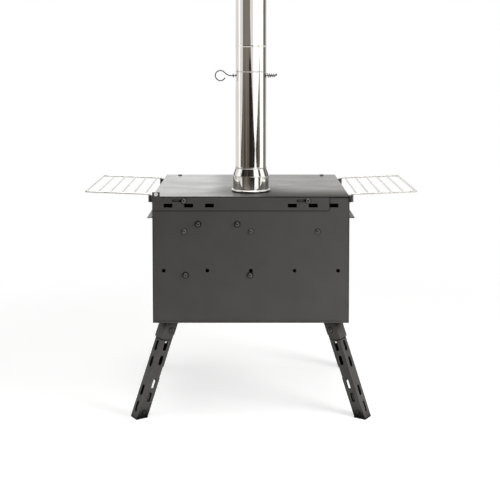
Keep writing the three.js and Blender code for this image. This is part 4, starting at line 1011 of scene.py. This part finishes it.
# %% Damper spring
spring_low, spring_high = (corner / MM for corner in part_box("damper_spring"))
SPRING_R = 0.7
WIDE, NARROW = 4.1, 2.9
CURLS = 4
CURL_STEPS = 32
spring_start = spring_low.x
spring_end = spring_high.x
straight = 2 * SPRING_R
coil = [Vector((spring_start, PIPE_Y, KEY_Z + WIDE))]
for step in range(CURLS * CURL_STEPS + 1):
    share = step / (CURLS * CURL_STEPS)
    angle = share * CURLS * 2 * math.pi
    radius = WIDE + (NARROW - WIDE) * share
    along = spring_start + straight + share * (spring_end - spring_start - 2 * straight)
    y = PIPE_Y + radius * math.sin(angle)
    coil.append(Vector((along, y, KEY_Z + radius * math.cos(angle))))
coil.append(Vector((spring_end, PIPE_Y, KEY_Z + NARROW)))
wire_curve(
    "damper_spring_wire", [(coil, SPRING_R)], grey_wire, "damper", "wire_steel", "damper_spring"
)
print("spring length", round(spring_end - spring_start, 2), "mm in", CURLS, "curls")

# %% Damper washer
WASHER_BORE_R = 1.5
WASHER_EDGE = 0.3
washer_low, washer_high = (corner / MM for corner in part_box("damper_washer"))
washer_r = (washer_high.z - washer_low.z) / 2
thick = washer_high.x - washer_low.x
washer_profile = [(WASHER_BORE_R, 0), (washer_r - WASHER_EDGE, 0), (washer_r, WASHER_EDGE)]
washer_profile += [(washer_r, thick - WASHER_EDGE), (washer_r - WASHER_EDGE, thick)]
washer_profile += [(WASHER_BORE_R, thick)]
washer_seat = Matrix.Translation((washer_low.x * MM, PIPE_Y * MM, KEY_Z * MM))
along_x = washer_seat @ Matrix.Rotation(math.pi / 2, 4, "Y")
washer_mesh = turned("damper_boss", washer_profile, along_x, 48, True)
new_piece("damper_boss", washer_mesh, screw_steel, "damper", "fastener_steel", "damper_washer")
print("washer radius", round(washer_r, 2), "mm, thickness", round(thick, 2), "mm")

# %% [markdown]
# ## Screws and rivets
#
# Small button-head socket screws hold the air plates, the liner and the baffle. The head is a
# low dome with a rounded rim and a hexagon socket, and a plain nut sits inside the firebox. Each
# is a stack of rings, round or six-sided, joined by faces.

# %% Screw sizes
NUT_R = 3.8
NUT_H = 3.0
SHANK_R = 2.2
SOCKET_ACROSS = 3.2
SCREW_HEAD_H = 2.2
STUD_HEAD_H = 5.0
RING_STEPS = 48


def hexagon(across, angle):
    """Radius of a hexagon, measured over its flats, in a direction."""
    turned_by = (angle + math.pi / 6) % (math.pi / 3) - math.pi / 6
    return across / 2 / math.cos(turned_by)


print("socket from", SOCKET_ACROSS / 2, "to", round(hexagon(SOCKET_ACROSS, math.pi / 6), 2), "mm out")

# %% Socket screw


def screw_levels(head_r, head_h, length):
    """(radius, height, six-sided or not) of each ring, from the nut's end to the socket's floor."""
    nut_end = -length + head_h
    nut_top = nut_end + NUT_H
    levels = [(0.01, nut_end, False), (NUT_R - 0.1, nut_end, False), (NUT_R, nut_end + 0.4, False)]
    levels += [(NUT_R, nut_top, False), (SHANK_R, nut_top, False), (SHANK_R, 0.0, False)]
    levels += [(head_r - 0.15, 0.0, False), (head_r, 0.25, False)]
    for step in range(1, 7):
        share = step / 6
        radius = head_r - (head_r - SOCKET_ACROSS * 0.72) * share**1.6
        height = 0.25 + (head_h - 0.25) * math.sin(share * math.pi / 2)
        levels.append((radius, height, False))
    levels += [(SOCKET_ACROSS, head_h, True), (SOCKET_ACROSS, head_h * 0.35, True)]
    levels += [(0.01, head_h * 0.22, False)]
    return levels


def socket_screw(name, head_r, head_h, length, place):
    """Made with its head up along +Z and its head's seat at z = 0."""
    built = bmesh.new()
    rings = []
    for size, height, six_sided in screw_levels(head_r, head_h, length):
        ring = []
        for step in range(RING_STEPS):
            angle = 2 * math.pi * step / RING_STEPS
            reach = hexagon(size, angle) if six_sided else size
            x = reach * MM * math.cos(angle)
            ring.append(built.verts.new((x, reach * MM * math.sin(angle), height * MM)))
        rings.append(ring)
    for low, high in zip(rings, rings[1:]):
        for step in range(RING_STEPS):
            after = (step + 1) % RING_STEPS
            built.faces.new((low[step], low[after], high[after], high[step]))
    built.faces.new(rings[0])
    built.faces.new(rings[-1])
    bmesh.ops.recalc_face_normals(built, faces=built.faces)
    mesh = bpy.data.meshes.new(name)
    built.to_mesh(mesh)
    built.free()
    mesh.transform(place)
    for face in mesh.polygons:
        face.use_smooth = True
    mesh.set_sharp_from_angle(angle=math.radians(35))
    return mesh


print("rings in a screw:", len(screw_levels(4.0, SCREW_HEAD_H, 8.0)))

# %% Screws and studs
STARTS = ("rear_rivet", "rear_stud", "baffle_stud")
SCREW_NODES = [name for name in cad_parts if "_screw_" in name or name.startswith(STARTS)]
for node in SCREW_NODES:
    low, high = (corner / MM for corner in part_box(node))
    at_front = node.startswith("front")
    radius = max(high.x - low.x, high.z - low.z) / 2
    head = STUD_HEAD_H if "stud" in node else SCREW_HEAD_H
    seat = (high.y - head) if at_front else (low.y + head)
    centre = Vector(((low.x + high.x) / 2, seat, (low.z + high.z) / 2)) * MM
    # the head looks out of the panel: -Y at the rear, +Y at the front
    facing = Matrix.Rotation(math.radians(-90 if at_front else 90), 4, "X")
    place = Matrix.Translation(centre) @ facing
    mesh = socket_screw(node + "_turned", radius, head, high.y - low.y, place)
    new_piece(node + "_turned", mesh, screw_steel, "firebox", "fastener_steel", node)
print("socket screws:", len(SCREW_NODES))

# %% [markdown]
# ## The legs' pivots
#
# Each leg turns on a tubular rivet with a domed, hollow head at both ends. The profile is worked
# out for one end and mirrored for the other. The rivet lies square to its leg, which splays at
# an angle seen from above.

# %% Leg pivot rivets
PIVOT_R = 3.0
PIVOT_HEAD_R = 4.9
PIVOT_HEAD_H = 1.6
HOLLOW_R = 2.0
LEG_TURN = {"rear_left": 212, "rear_right": 328, "front_right": 32, "front_left": 148}
for corner, turn in LEG_TURN.items():
    node = f"leg_rivet_{corner}"
    low, high = (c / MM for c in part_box(node))
    middle = (low + high) / 2
    azimuth = math.radians(turn)
    axis = Vector((-math.sin(azimuth), math.cos(azimuth), 0))
    # half the rivet's length follows from its box along X or Y, less the slant of its head
    half = ((high.y - low.y) / 2 - 0.7 * PIVOT_HEAD_R * abs(axis.x)) / abs(axis.y)
    face = half - PIVOT_HEAD_H
    dome = []
    for step in range(7):
        share = step / 6
        lean = share * math.pi / 2
        dome.append((PIVOT_HEAD_R * math.cos(lean), face + PIVOT_HEAD_H * math.sin(lean)))
    dome = [point for point in dome if point[0] > HOLLOW_R]
    dome += [(HOLLOW_R, half - 0.15), (HOLLOW_R - 0.4, half - 0.9), (0.0, half - 1.0)]
    profile = [(r, -z) for r, z in reversed(dome)] + [(PIVOT_R, -face), (PIVOT_R, face)] + dome
    lie = Vector((0, 0, 1)).rotation_difference(axis).to_matrix().to_4x4()
    mesh = turned(node + "_domed", profile, Matrix.Translation(middle * MM) @ lie, 40, False)
    new_piece(node + "_domed", mesh, rivet_coat, "firebox", "fastener_steel", node)
    print(node, "length", round(2 * half, 1), "mm")

# %% [markdown]
# ## The white table
#
# The stove stands on a seamless white table. To the eye its matt paint is mixed with a little
# glow, so that it shows white and still keeps the soft shadow under the firebox; further out it
# is plain white and runs into the room. The light that it throws back up is that of the paint
# alone.

# %% White table


def table_finish(name):
    material, tree = new_material(name)
    place = add_node(tree, "TexCoord").outputs["Object"]
    fleck = add_node(tree, "TexNoise", inputs={"Vector": place, "Scale": per_mm(140), "Detail": 2.0})
    tone = add_node(
        tree,
        "Mix",
        {"data_type": "RGBA"},
        {0: fleck.outputs["Fac"], 6: colour("#f4f4f3"), 7: colour("#f8f8f7")},
    )
    matt = add_node(tree, "BsdfDiffuse", inputs={"Color": tone.outputs[2]})
    glow = add_node(tree, "Emission", inputs={"Color": (1, 1, 1, 1), "Strength": 1.75})
    share = add_node(tree, "MixShader", inputs={0: 0.4, 1: matt.outputs[0], 2: glow.outputs[0]})
    plain = add_node(tree, "Emission", inputs={"Color": (1, 1, 1, 1), "Strength": 1.0})
    reach = add_node(tree, "VectorMath", {"operation": "LENGTH"}, {0: place})
    far = add_node(
        tree,
        "MapRange",
        {"interpolation_type": "SMOOTHSTEP"},
        {"Value": reach.outputs["Value"], "From Min": 0.5, "From Max": 1.3},
    )
    sweep = add_node(
        tree, "MixShader", inputs={0: far.outputs[0], 1: share.outputs[0], 2: plain.outputs[0]}
    )
    path = add_node(tree, "LightPath")
    seen = add_node(
        tree,
        "Math",
        {"operation": "MAXIMUM"},
        {0: path.outputs["Is Camera Ray"], 1: path.outputs["Is Glossy Ray"]},
    )
    also = add_node(
        tree,
        "Math",
        {"operation": "MAXIMUM"},
        {0: seen.outputs[0], 1: path.outputs["Is Transmission Ray"]},
    )
    final = add_node(
        tree, "MixShader", inputs={0: also.outputs[0], 1: matt.outputs[0], 2: sweep.outputs[0]}
    )
    show(tree, final)
    return material


print("the table's glow fades to plain white between 0.5 and 1.3 m")

# %% Table top
HALF_TABLE = 9.0
table_mesh = bpy.data.meshes.new("table_top")
table_corners = [(-HALF_TABLE, -HALF_TABLE, 0), (HALF_TABLE, -HALF_TABLE, 0)]
table_corners += [(HALF_TABLE, HALF_TABLE, 0), (-HALF_TABLE, HALF_TABLE, 0)]
table_mesh.from_pydata(table_corners, [], [(0, 1, 2, 3)])
table_mesh.materials.append(table_finish("white_table"))
table = bpy.data.objects.new("table_top", table_mesh)
bpy.context.scene.collection.objects.link(table)
print("table:", 2 * HALF_TABLE, "m square")

# %% [markdown]
# ## The room
#
# The room is white to the camera and to mirrors. As a light it is dimmer, and stronger from the
# right, which gives the panel its slow fall from right to left. A world shader tells these rays
# apart with the Light Path node.

# %% Room
world = bpy.data.worlds.new("white_room")
world.use_nodes = True
bpy.context.scene.world = world
room = world.node_tree
room.nodes.clear()
light_path = add_node(room, "LightPath")
seen_room = add_node(
    room,
    "Math",
    {"operation": "MAXIMUM"},
    {0: light_path.outputs["Is Camera Ray"], 1: light_path.outputs["Is Transmission Ray"]},
)
toward = add_node(room, "SeparateXYZ", inputs={0: add_node(room, "TexCoord").outputs["Generated"]})
sideways = add_node(
    room,
    "MapRange",
    inputs={
        "Value": toward.outputs["X"],
        "From Min": -0.8,
        "From Max": 0.8,
        "To Min": 0.09,
        "To Max": 0.25,
    },
)
lit = add_node(
    room, "Background", inputs={"Color": (1, 0.995, 0.985, 1), "Strength": sideways.outputs[0]}
)
white = add_node(room, "Background", inputs={"Color": (1, 1, 1, 1), "Strength": 1.0})
mirrored = add_node(room, "Background", inputs={"Color": (1, 1, 1, 1), "Strength": 0.92})
first = add_node(
    room,
    "MixShader",
    inputs={0: light_path.outputs["Is Glossy Ray"], 1: lit.outputs[0], 2: mirrored.outputs[0]},
)
second = add_node(
    room, "MixShader", inputs={0: seen_room.outputs[0], 1: first.outputs[0], 2: white.outputs[0]}
)
add_node(room, "OutputWorld", inputs={"Surface": second.outputs[0]})
print("room nodes:", len(room.nodes))

# %% [markdown]
# ## Reflector cards
#
# A mirror tube shows the room round it as upright stripes, so a photographer shapes it with
# white and black cards. These stand in a ring round the pipe behind the camera. Each card's
# edge is given by the direction it lies in, seen from the pipe, and by the height on the pipe
# at which it should show; a flat ray from the camera to that height then tells how high the
# card's edge stands. Only mirrors see them, and they light nothing else. Each card glows in
# streaks between two greys, so that its stripe isn't flat.

# %% Card heights
CAMERA_Y = -2.126
CAMERA_Z = 0.733
CAMERA_REACH = -CAMERA_Y + PIPE_Y * MM
RING = 2.6
ACROSS = 24  # faces across a curved card


def card_height(on_pipe):
    return on_pipe * MM + (on_pipe * MM - CAMERA_Z) * RING / CAMERA_REACH


print("camera to pipe", round(CAMERA_REACH, 3), "m")
print("449 mm up the pipe mirrors the ring at", round(card_height(449), 3), "m")

# %% Card finish
TOP_TONE_SHARE = 0.6


def card_finish(name, tone, dark_tone, strength, streak_mm, top_tone=None, fade=(532, 760)):
    """top_tone, if given, comes in over fade, two heights on the pipe in mm."""
    material, tree = new_material(name)
    place = add_node(tree, "TexCoord").outputs["Object"]
    upright = add_node(tree, "Mapping", inputs={"Vector": place, "Scale": (1.0, 1.0, 0.03)})
    streak = add_node(
        tree,
        "TexNoise",
        inputs={
            "Vector": upright.outputs[0],
            "Scale": per_mm(streak_mm),
            "Detail": 3.0,
            "Roughness": 0.6,
        },
    )
    share = add_node(
        tree,
        "MapRange",
        inputs={"Value": streak.outputs["Fac"], "From Min": 0.35, "From Max": 0.65},
    )
    shade = add_node(
        tree,
        "Mix",
        {"data_type": "RGBA"},
        {0: share.outputs[0], 6: colour(dark_tone), 7: colour(tone)},
    )
    surface = shade.outputs[2]
    if top_tone:
        height = add_node(tree, "SeparateXYZ", inputs={0: place})
        low, high = (card_height(level) for level in fade)
        rise = add_node(
            tree,
            "MapRange",
            inputs={
                "Value": height.outputs["Z"],
                "From Min": low,
                "From Max": high,
                "To Max": TOP_TONE_SHARE,
            },
        )
        lifted = add_node(
            tree, "Mix", {"data_type": "RGBA"}, {0: rise.outputs[0], 6: surface, 7: colour(top_tone)}
        )
        surface = lifted.outputs[2]
    glow = add_node(tree, "Emission", inputs={"Color": surface, "Strength": strength})
    show(tree, glow)
    return material


print("a card's streaks are drawn out 33 times upright")

# %% Card helper


def mirror_only(name, vertices, faces, finish):
    """A card that only mirrors see."""
    mesh = bpy.data.meshes.new(name)
    mesh.from_pydata(vertices, [], faces)
    mesh.materials.append(finish)
    made = bpy.data.objects.new(name, mesh)
    bpy.context.scene.collection.objects.link(made)
    made.visible_camera = False
    made.visible_diffuse = False
    made.visible_shadow = False
    made.visible_transmission = False


def card(name, edges, finish, ring=RING):
    """edges = [(height on the pipe in mm, left azimuth, right azimuth), ...] from the top down."""
    vertices = []
    for height, left, right in edges:
        for step in range(ACROSS + 1):
            azimuth = math.radians(left + (right - left) * step / ACROSS)
            y = PIPE_Y * MM - ring * math.cos(azimuth)
            vertices.append((ring * math.sin(azimuth), y, card_height(height)))
    faces = []
    for row in range(len(edges) - 1):
        for step in range(ACROSS):
            upper = row * (ACROSS + 1) + step
            lower = upper + ACROSS + 1
            faces.append((upper, upper + 1, lower + 1, lower))
    mirror_only(name, vertices, faces, finish)


print("card ring", RING, "m, each card", ACROSS, "faces across")

# %% Dark cards for the straight pipe
black_card = card_finish("black_card", "#8b8178", "#26221f", 0.9, 420, "#a39c95")
core_card = card_finish("core_card", "#3d3835", "#1a1716", 0.9, 300)
main_edges = [(1000, -61, -6), (800, -61, -6), (720, -62, 1), (620, -66, 15)]
main_edges += [(532, -78, 31), (500, -80, 24), (480, -58, 20), (449, -56, 20)]
card("card_main", main_edges, black_card)
core_edges = [(720, -14, -2), (612, -12, 14), (532, -10, 30), (449, -10, 20)]
card("card_core", core_edges, core_card, RING - 0.05)
wedge_edges = [(722, 66, 67.5), (620, 52, 68), (532, 34, 70)]
wedge_edges += [(505, 40, 70), (480, 48, 62), (449, 48, 62)]
card("card_wedge", wedge_edges, black_card)
print("dark cards reach up to", round(card_height(1000), 2), "m")

# %% Dark cards for the flare
flare_card = card_finish("flare_card", "#5d5650", "#1c1917", 0.9, 300)
card("card_flare", [(3000, -70, 21), (1020, -70, 21)], flare_card)
card("card_wedge_high", [(3000, 56, 70), (1020, 56, 70)], flare_card)
print("the flare mirrors up to", round(card_height(3000), 2), "m")

# %% Grey and white cards for the pipe's sides
grey_card = card_finish("grey_card", "#6f6c68", "#5f5c58", 1.0, 90)
pale_card = card_finish("pale_card", "#e6e4e1", "#d4d2ce", 1.25, 400)
silver_card = card_finish("silver_card", "#bab7b3", "#aaa7a3", 1.0, 200)
white_card = card_finish("white_card", "#ffffff", "#f4f4f2", 1.5, 200)
card("card_line", [(1000, 104, 124), (449, 104, 124)], grey_card)
card("card_rim", [(1000, 124, 148), (449, 124, 148)], silver_card)
card("card_edge", [(3000, -160, -100), (449, -160, -100)], pale_card)
card("card_left", [(3000, -100, -60), (449, -100, -90)], white_card, RING + 0.2)
card("card_right", [(3000, -6, 100), (449, 20, 100)], white_card, RING + 0.2)
print("side cards: a grey line, a silver rim, a pale edge and two white ones")

# %% [markdown]
# ## Cards for the hotplate
#
# At this low angle the hotplate mirrors what stands behind the stove, so two upright cards there
# set its left and right brightness. The polished socket mirrors the hotplate in turn, and there
# the plate has to look dark. Two flat rings beside the stove, dark from below only, do that.

# %% Cards behind the stove
BACK_Y = 2.8


def back_card(name, left, right, low, high, finish):
    """An upright card behind the stove, that the hotplate mirrors."""
    vertices = [(left, BACK_Y, low), (right, BACK_Y, low), (right, BACK_Y, high), (left, BACK_Y, high)]
    mirror_only(name, vertices, [(0, 1, 2, 3)], finish)


dim_card = card_finish("dim_card", "#d0cecb", "#bcbab6", 1.4, 200)
bright_card = card_finish("bright_card", "#ffffff", "#f8f8f6", 1.5, 300)
back_card("card_back_right", 0.04, 1.6, 0.93, 2.2, dim_card)
back_card("card_back_left", -1.6, -0.16, 0.55, 2.2, bright_card)
print("back cards stand", BACK_Y, "m behind the stove's middle")

# %% Rings that are dark from below
SHADE_Z = 0.62
SHADE_NEAR = 0.9
SHADE_FAR = 2.6


def shade_ring(name, left, right, finish):
    """A flat card that is dark from below only: the hotplate, seen in the pipe, mirrors it."""
    vertices = []
    for step in range(ACROSS + 1):
        azimuth = math.radians(left + (right - left) * step / ACROSS)
        for reach in (SHADE_NEAR, SHADE_FAR):
            y = PIPE_Y * MM - reach * math.cos(azimuth)
            vertices.append((reach * math.sin(azimuth), y, SHADE_Z))
    faces = [(2 * step, 2 * step + 1, 2 * step + 3, 2 * step + 2) for step in range(ACROSS)]
    mirror_only(name, vertices, faces, finish)


def underside_finish(name, tone):
    material, tree = new_material(name)
    facing = add_node(tree, "NewGeometry")
    dark = add_node(tree, "Emission", inputs={"Color": colour(tone), "Strength": 1.0})
    clear = add_node(tree, "BsdfTransparent")
    one_side = add_node(
        tree,
        "MixShader",
        inputs={0: facing.outputs["Backfacing"], 1: clear.outputs[0], 2: dark.outputs[0]},
    )
    show(tree, one_side)
    return material


under_card = underside_finish("underside_card", "#2a2826")
shade_ring("shade_left", -150, -60, under_card)
shade_ring("shade_right", 60, 150, under_card)
print("shade rings at", SHADE_Z, "m, from", SHADE_NEAR, "to", SHADE_FAR, "m out")

# %% [markdown]
# ## Lamps
#
# A broad soft lamp above gives the hotplate its light and the shadow under the firebox its soft
# edge. A weaker one low on the right lifts the right side of the panel; mirrors don't see it, so
# that only the cards shape the pipe.

# %% Lamps


def soft_lamp(name, place, target, size, watts):
    light = bpy.data.lights.new(name, "AREA")
    light.shape = "RECTANGLE"
    light.size, light.size_y = size
    light.energy = watts
    lamp = bpy.data.objects.new(name, light)
    lamp.location = place
    lamp.rotation_euler = (Vector(target) - Vector(place)).to_track_quat("-Z", "Y").to_euler()
    bpy.context.scene.collection.objects.link(lamp)
    return lamp


lamp_right = soft_lamp("lamp_right", (0.95, -0.66, 0.62), (0, -0.1, 0.33), (0.5, 0.8), 12)
lamp_right.visible_glossy = False
soft_lamp("lamp_above", (-0.2, -0.3, 2.4), (0, 0, 0.4), (1.6, 1.2), 22)
print("lamps:", len(bpy.data.lights))

# %% [markdown]
# ## Camera
#
# The camera looks at the stove's rear from a little above. Its place, its tilt and the shift of
# its picture were worked out by lining up the firebox, the pipe and the feet with the photo.

# %% Camera
camera_data = bpy.data.cameras.new("view")
camera_data.sensor_width = 36
camera_data.lens = 72
camera_data.shift_x = -0.0018
camera_data.shift_y = -0.28
camera = bpy.data.objects.new("view", camera_data)
camera.location = (0, CAMERA_Y, CAMERA_Z)
camera.rotation_euler = (math.radians(86.63), 0, 0)
bpy.context.scene.collection.objects.link(camera)
bpy.context.scene.camera = camera
bpy.context.scene.view_settings.view_transform = "Standard"
print("camera at", [round(v, 3) for v in camera.location], "with a lens of", camera_data.lens, "mm")
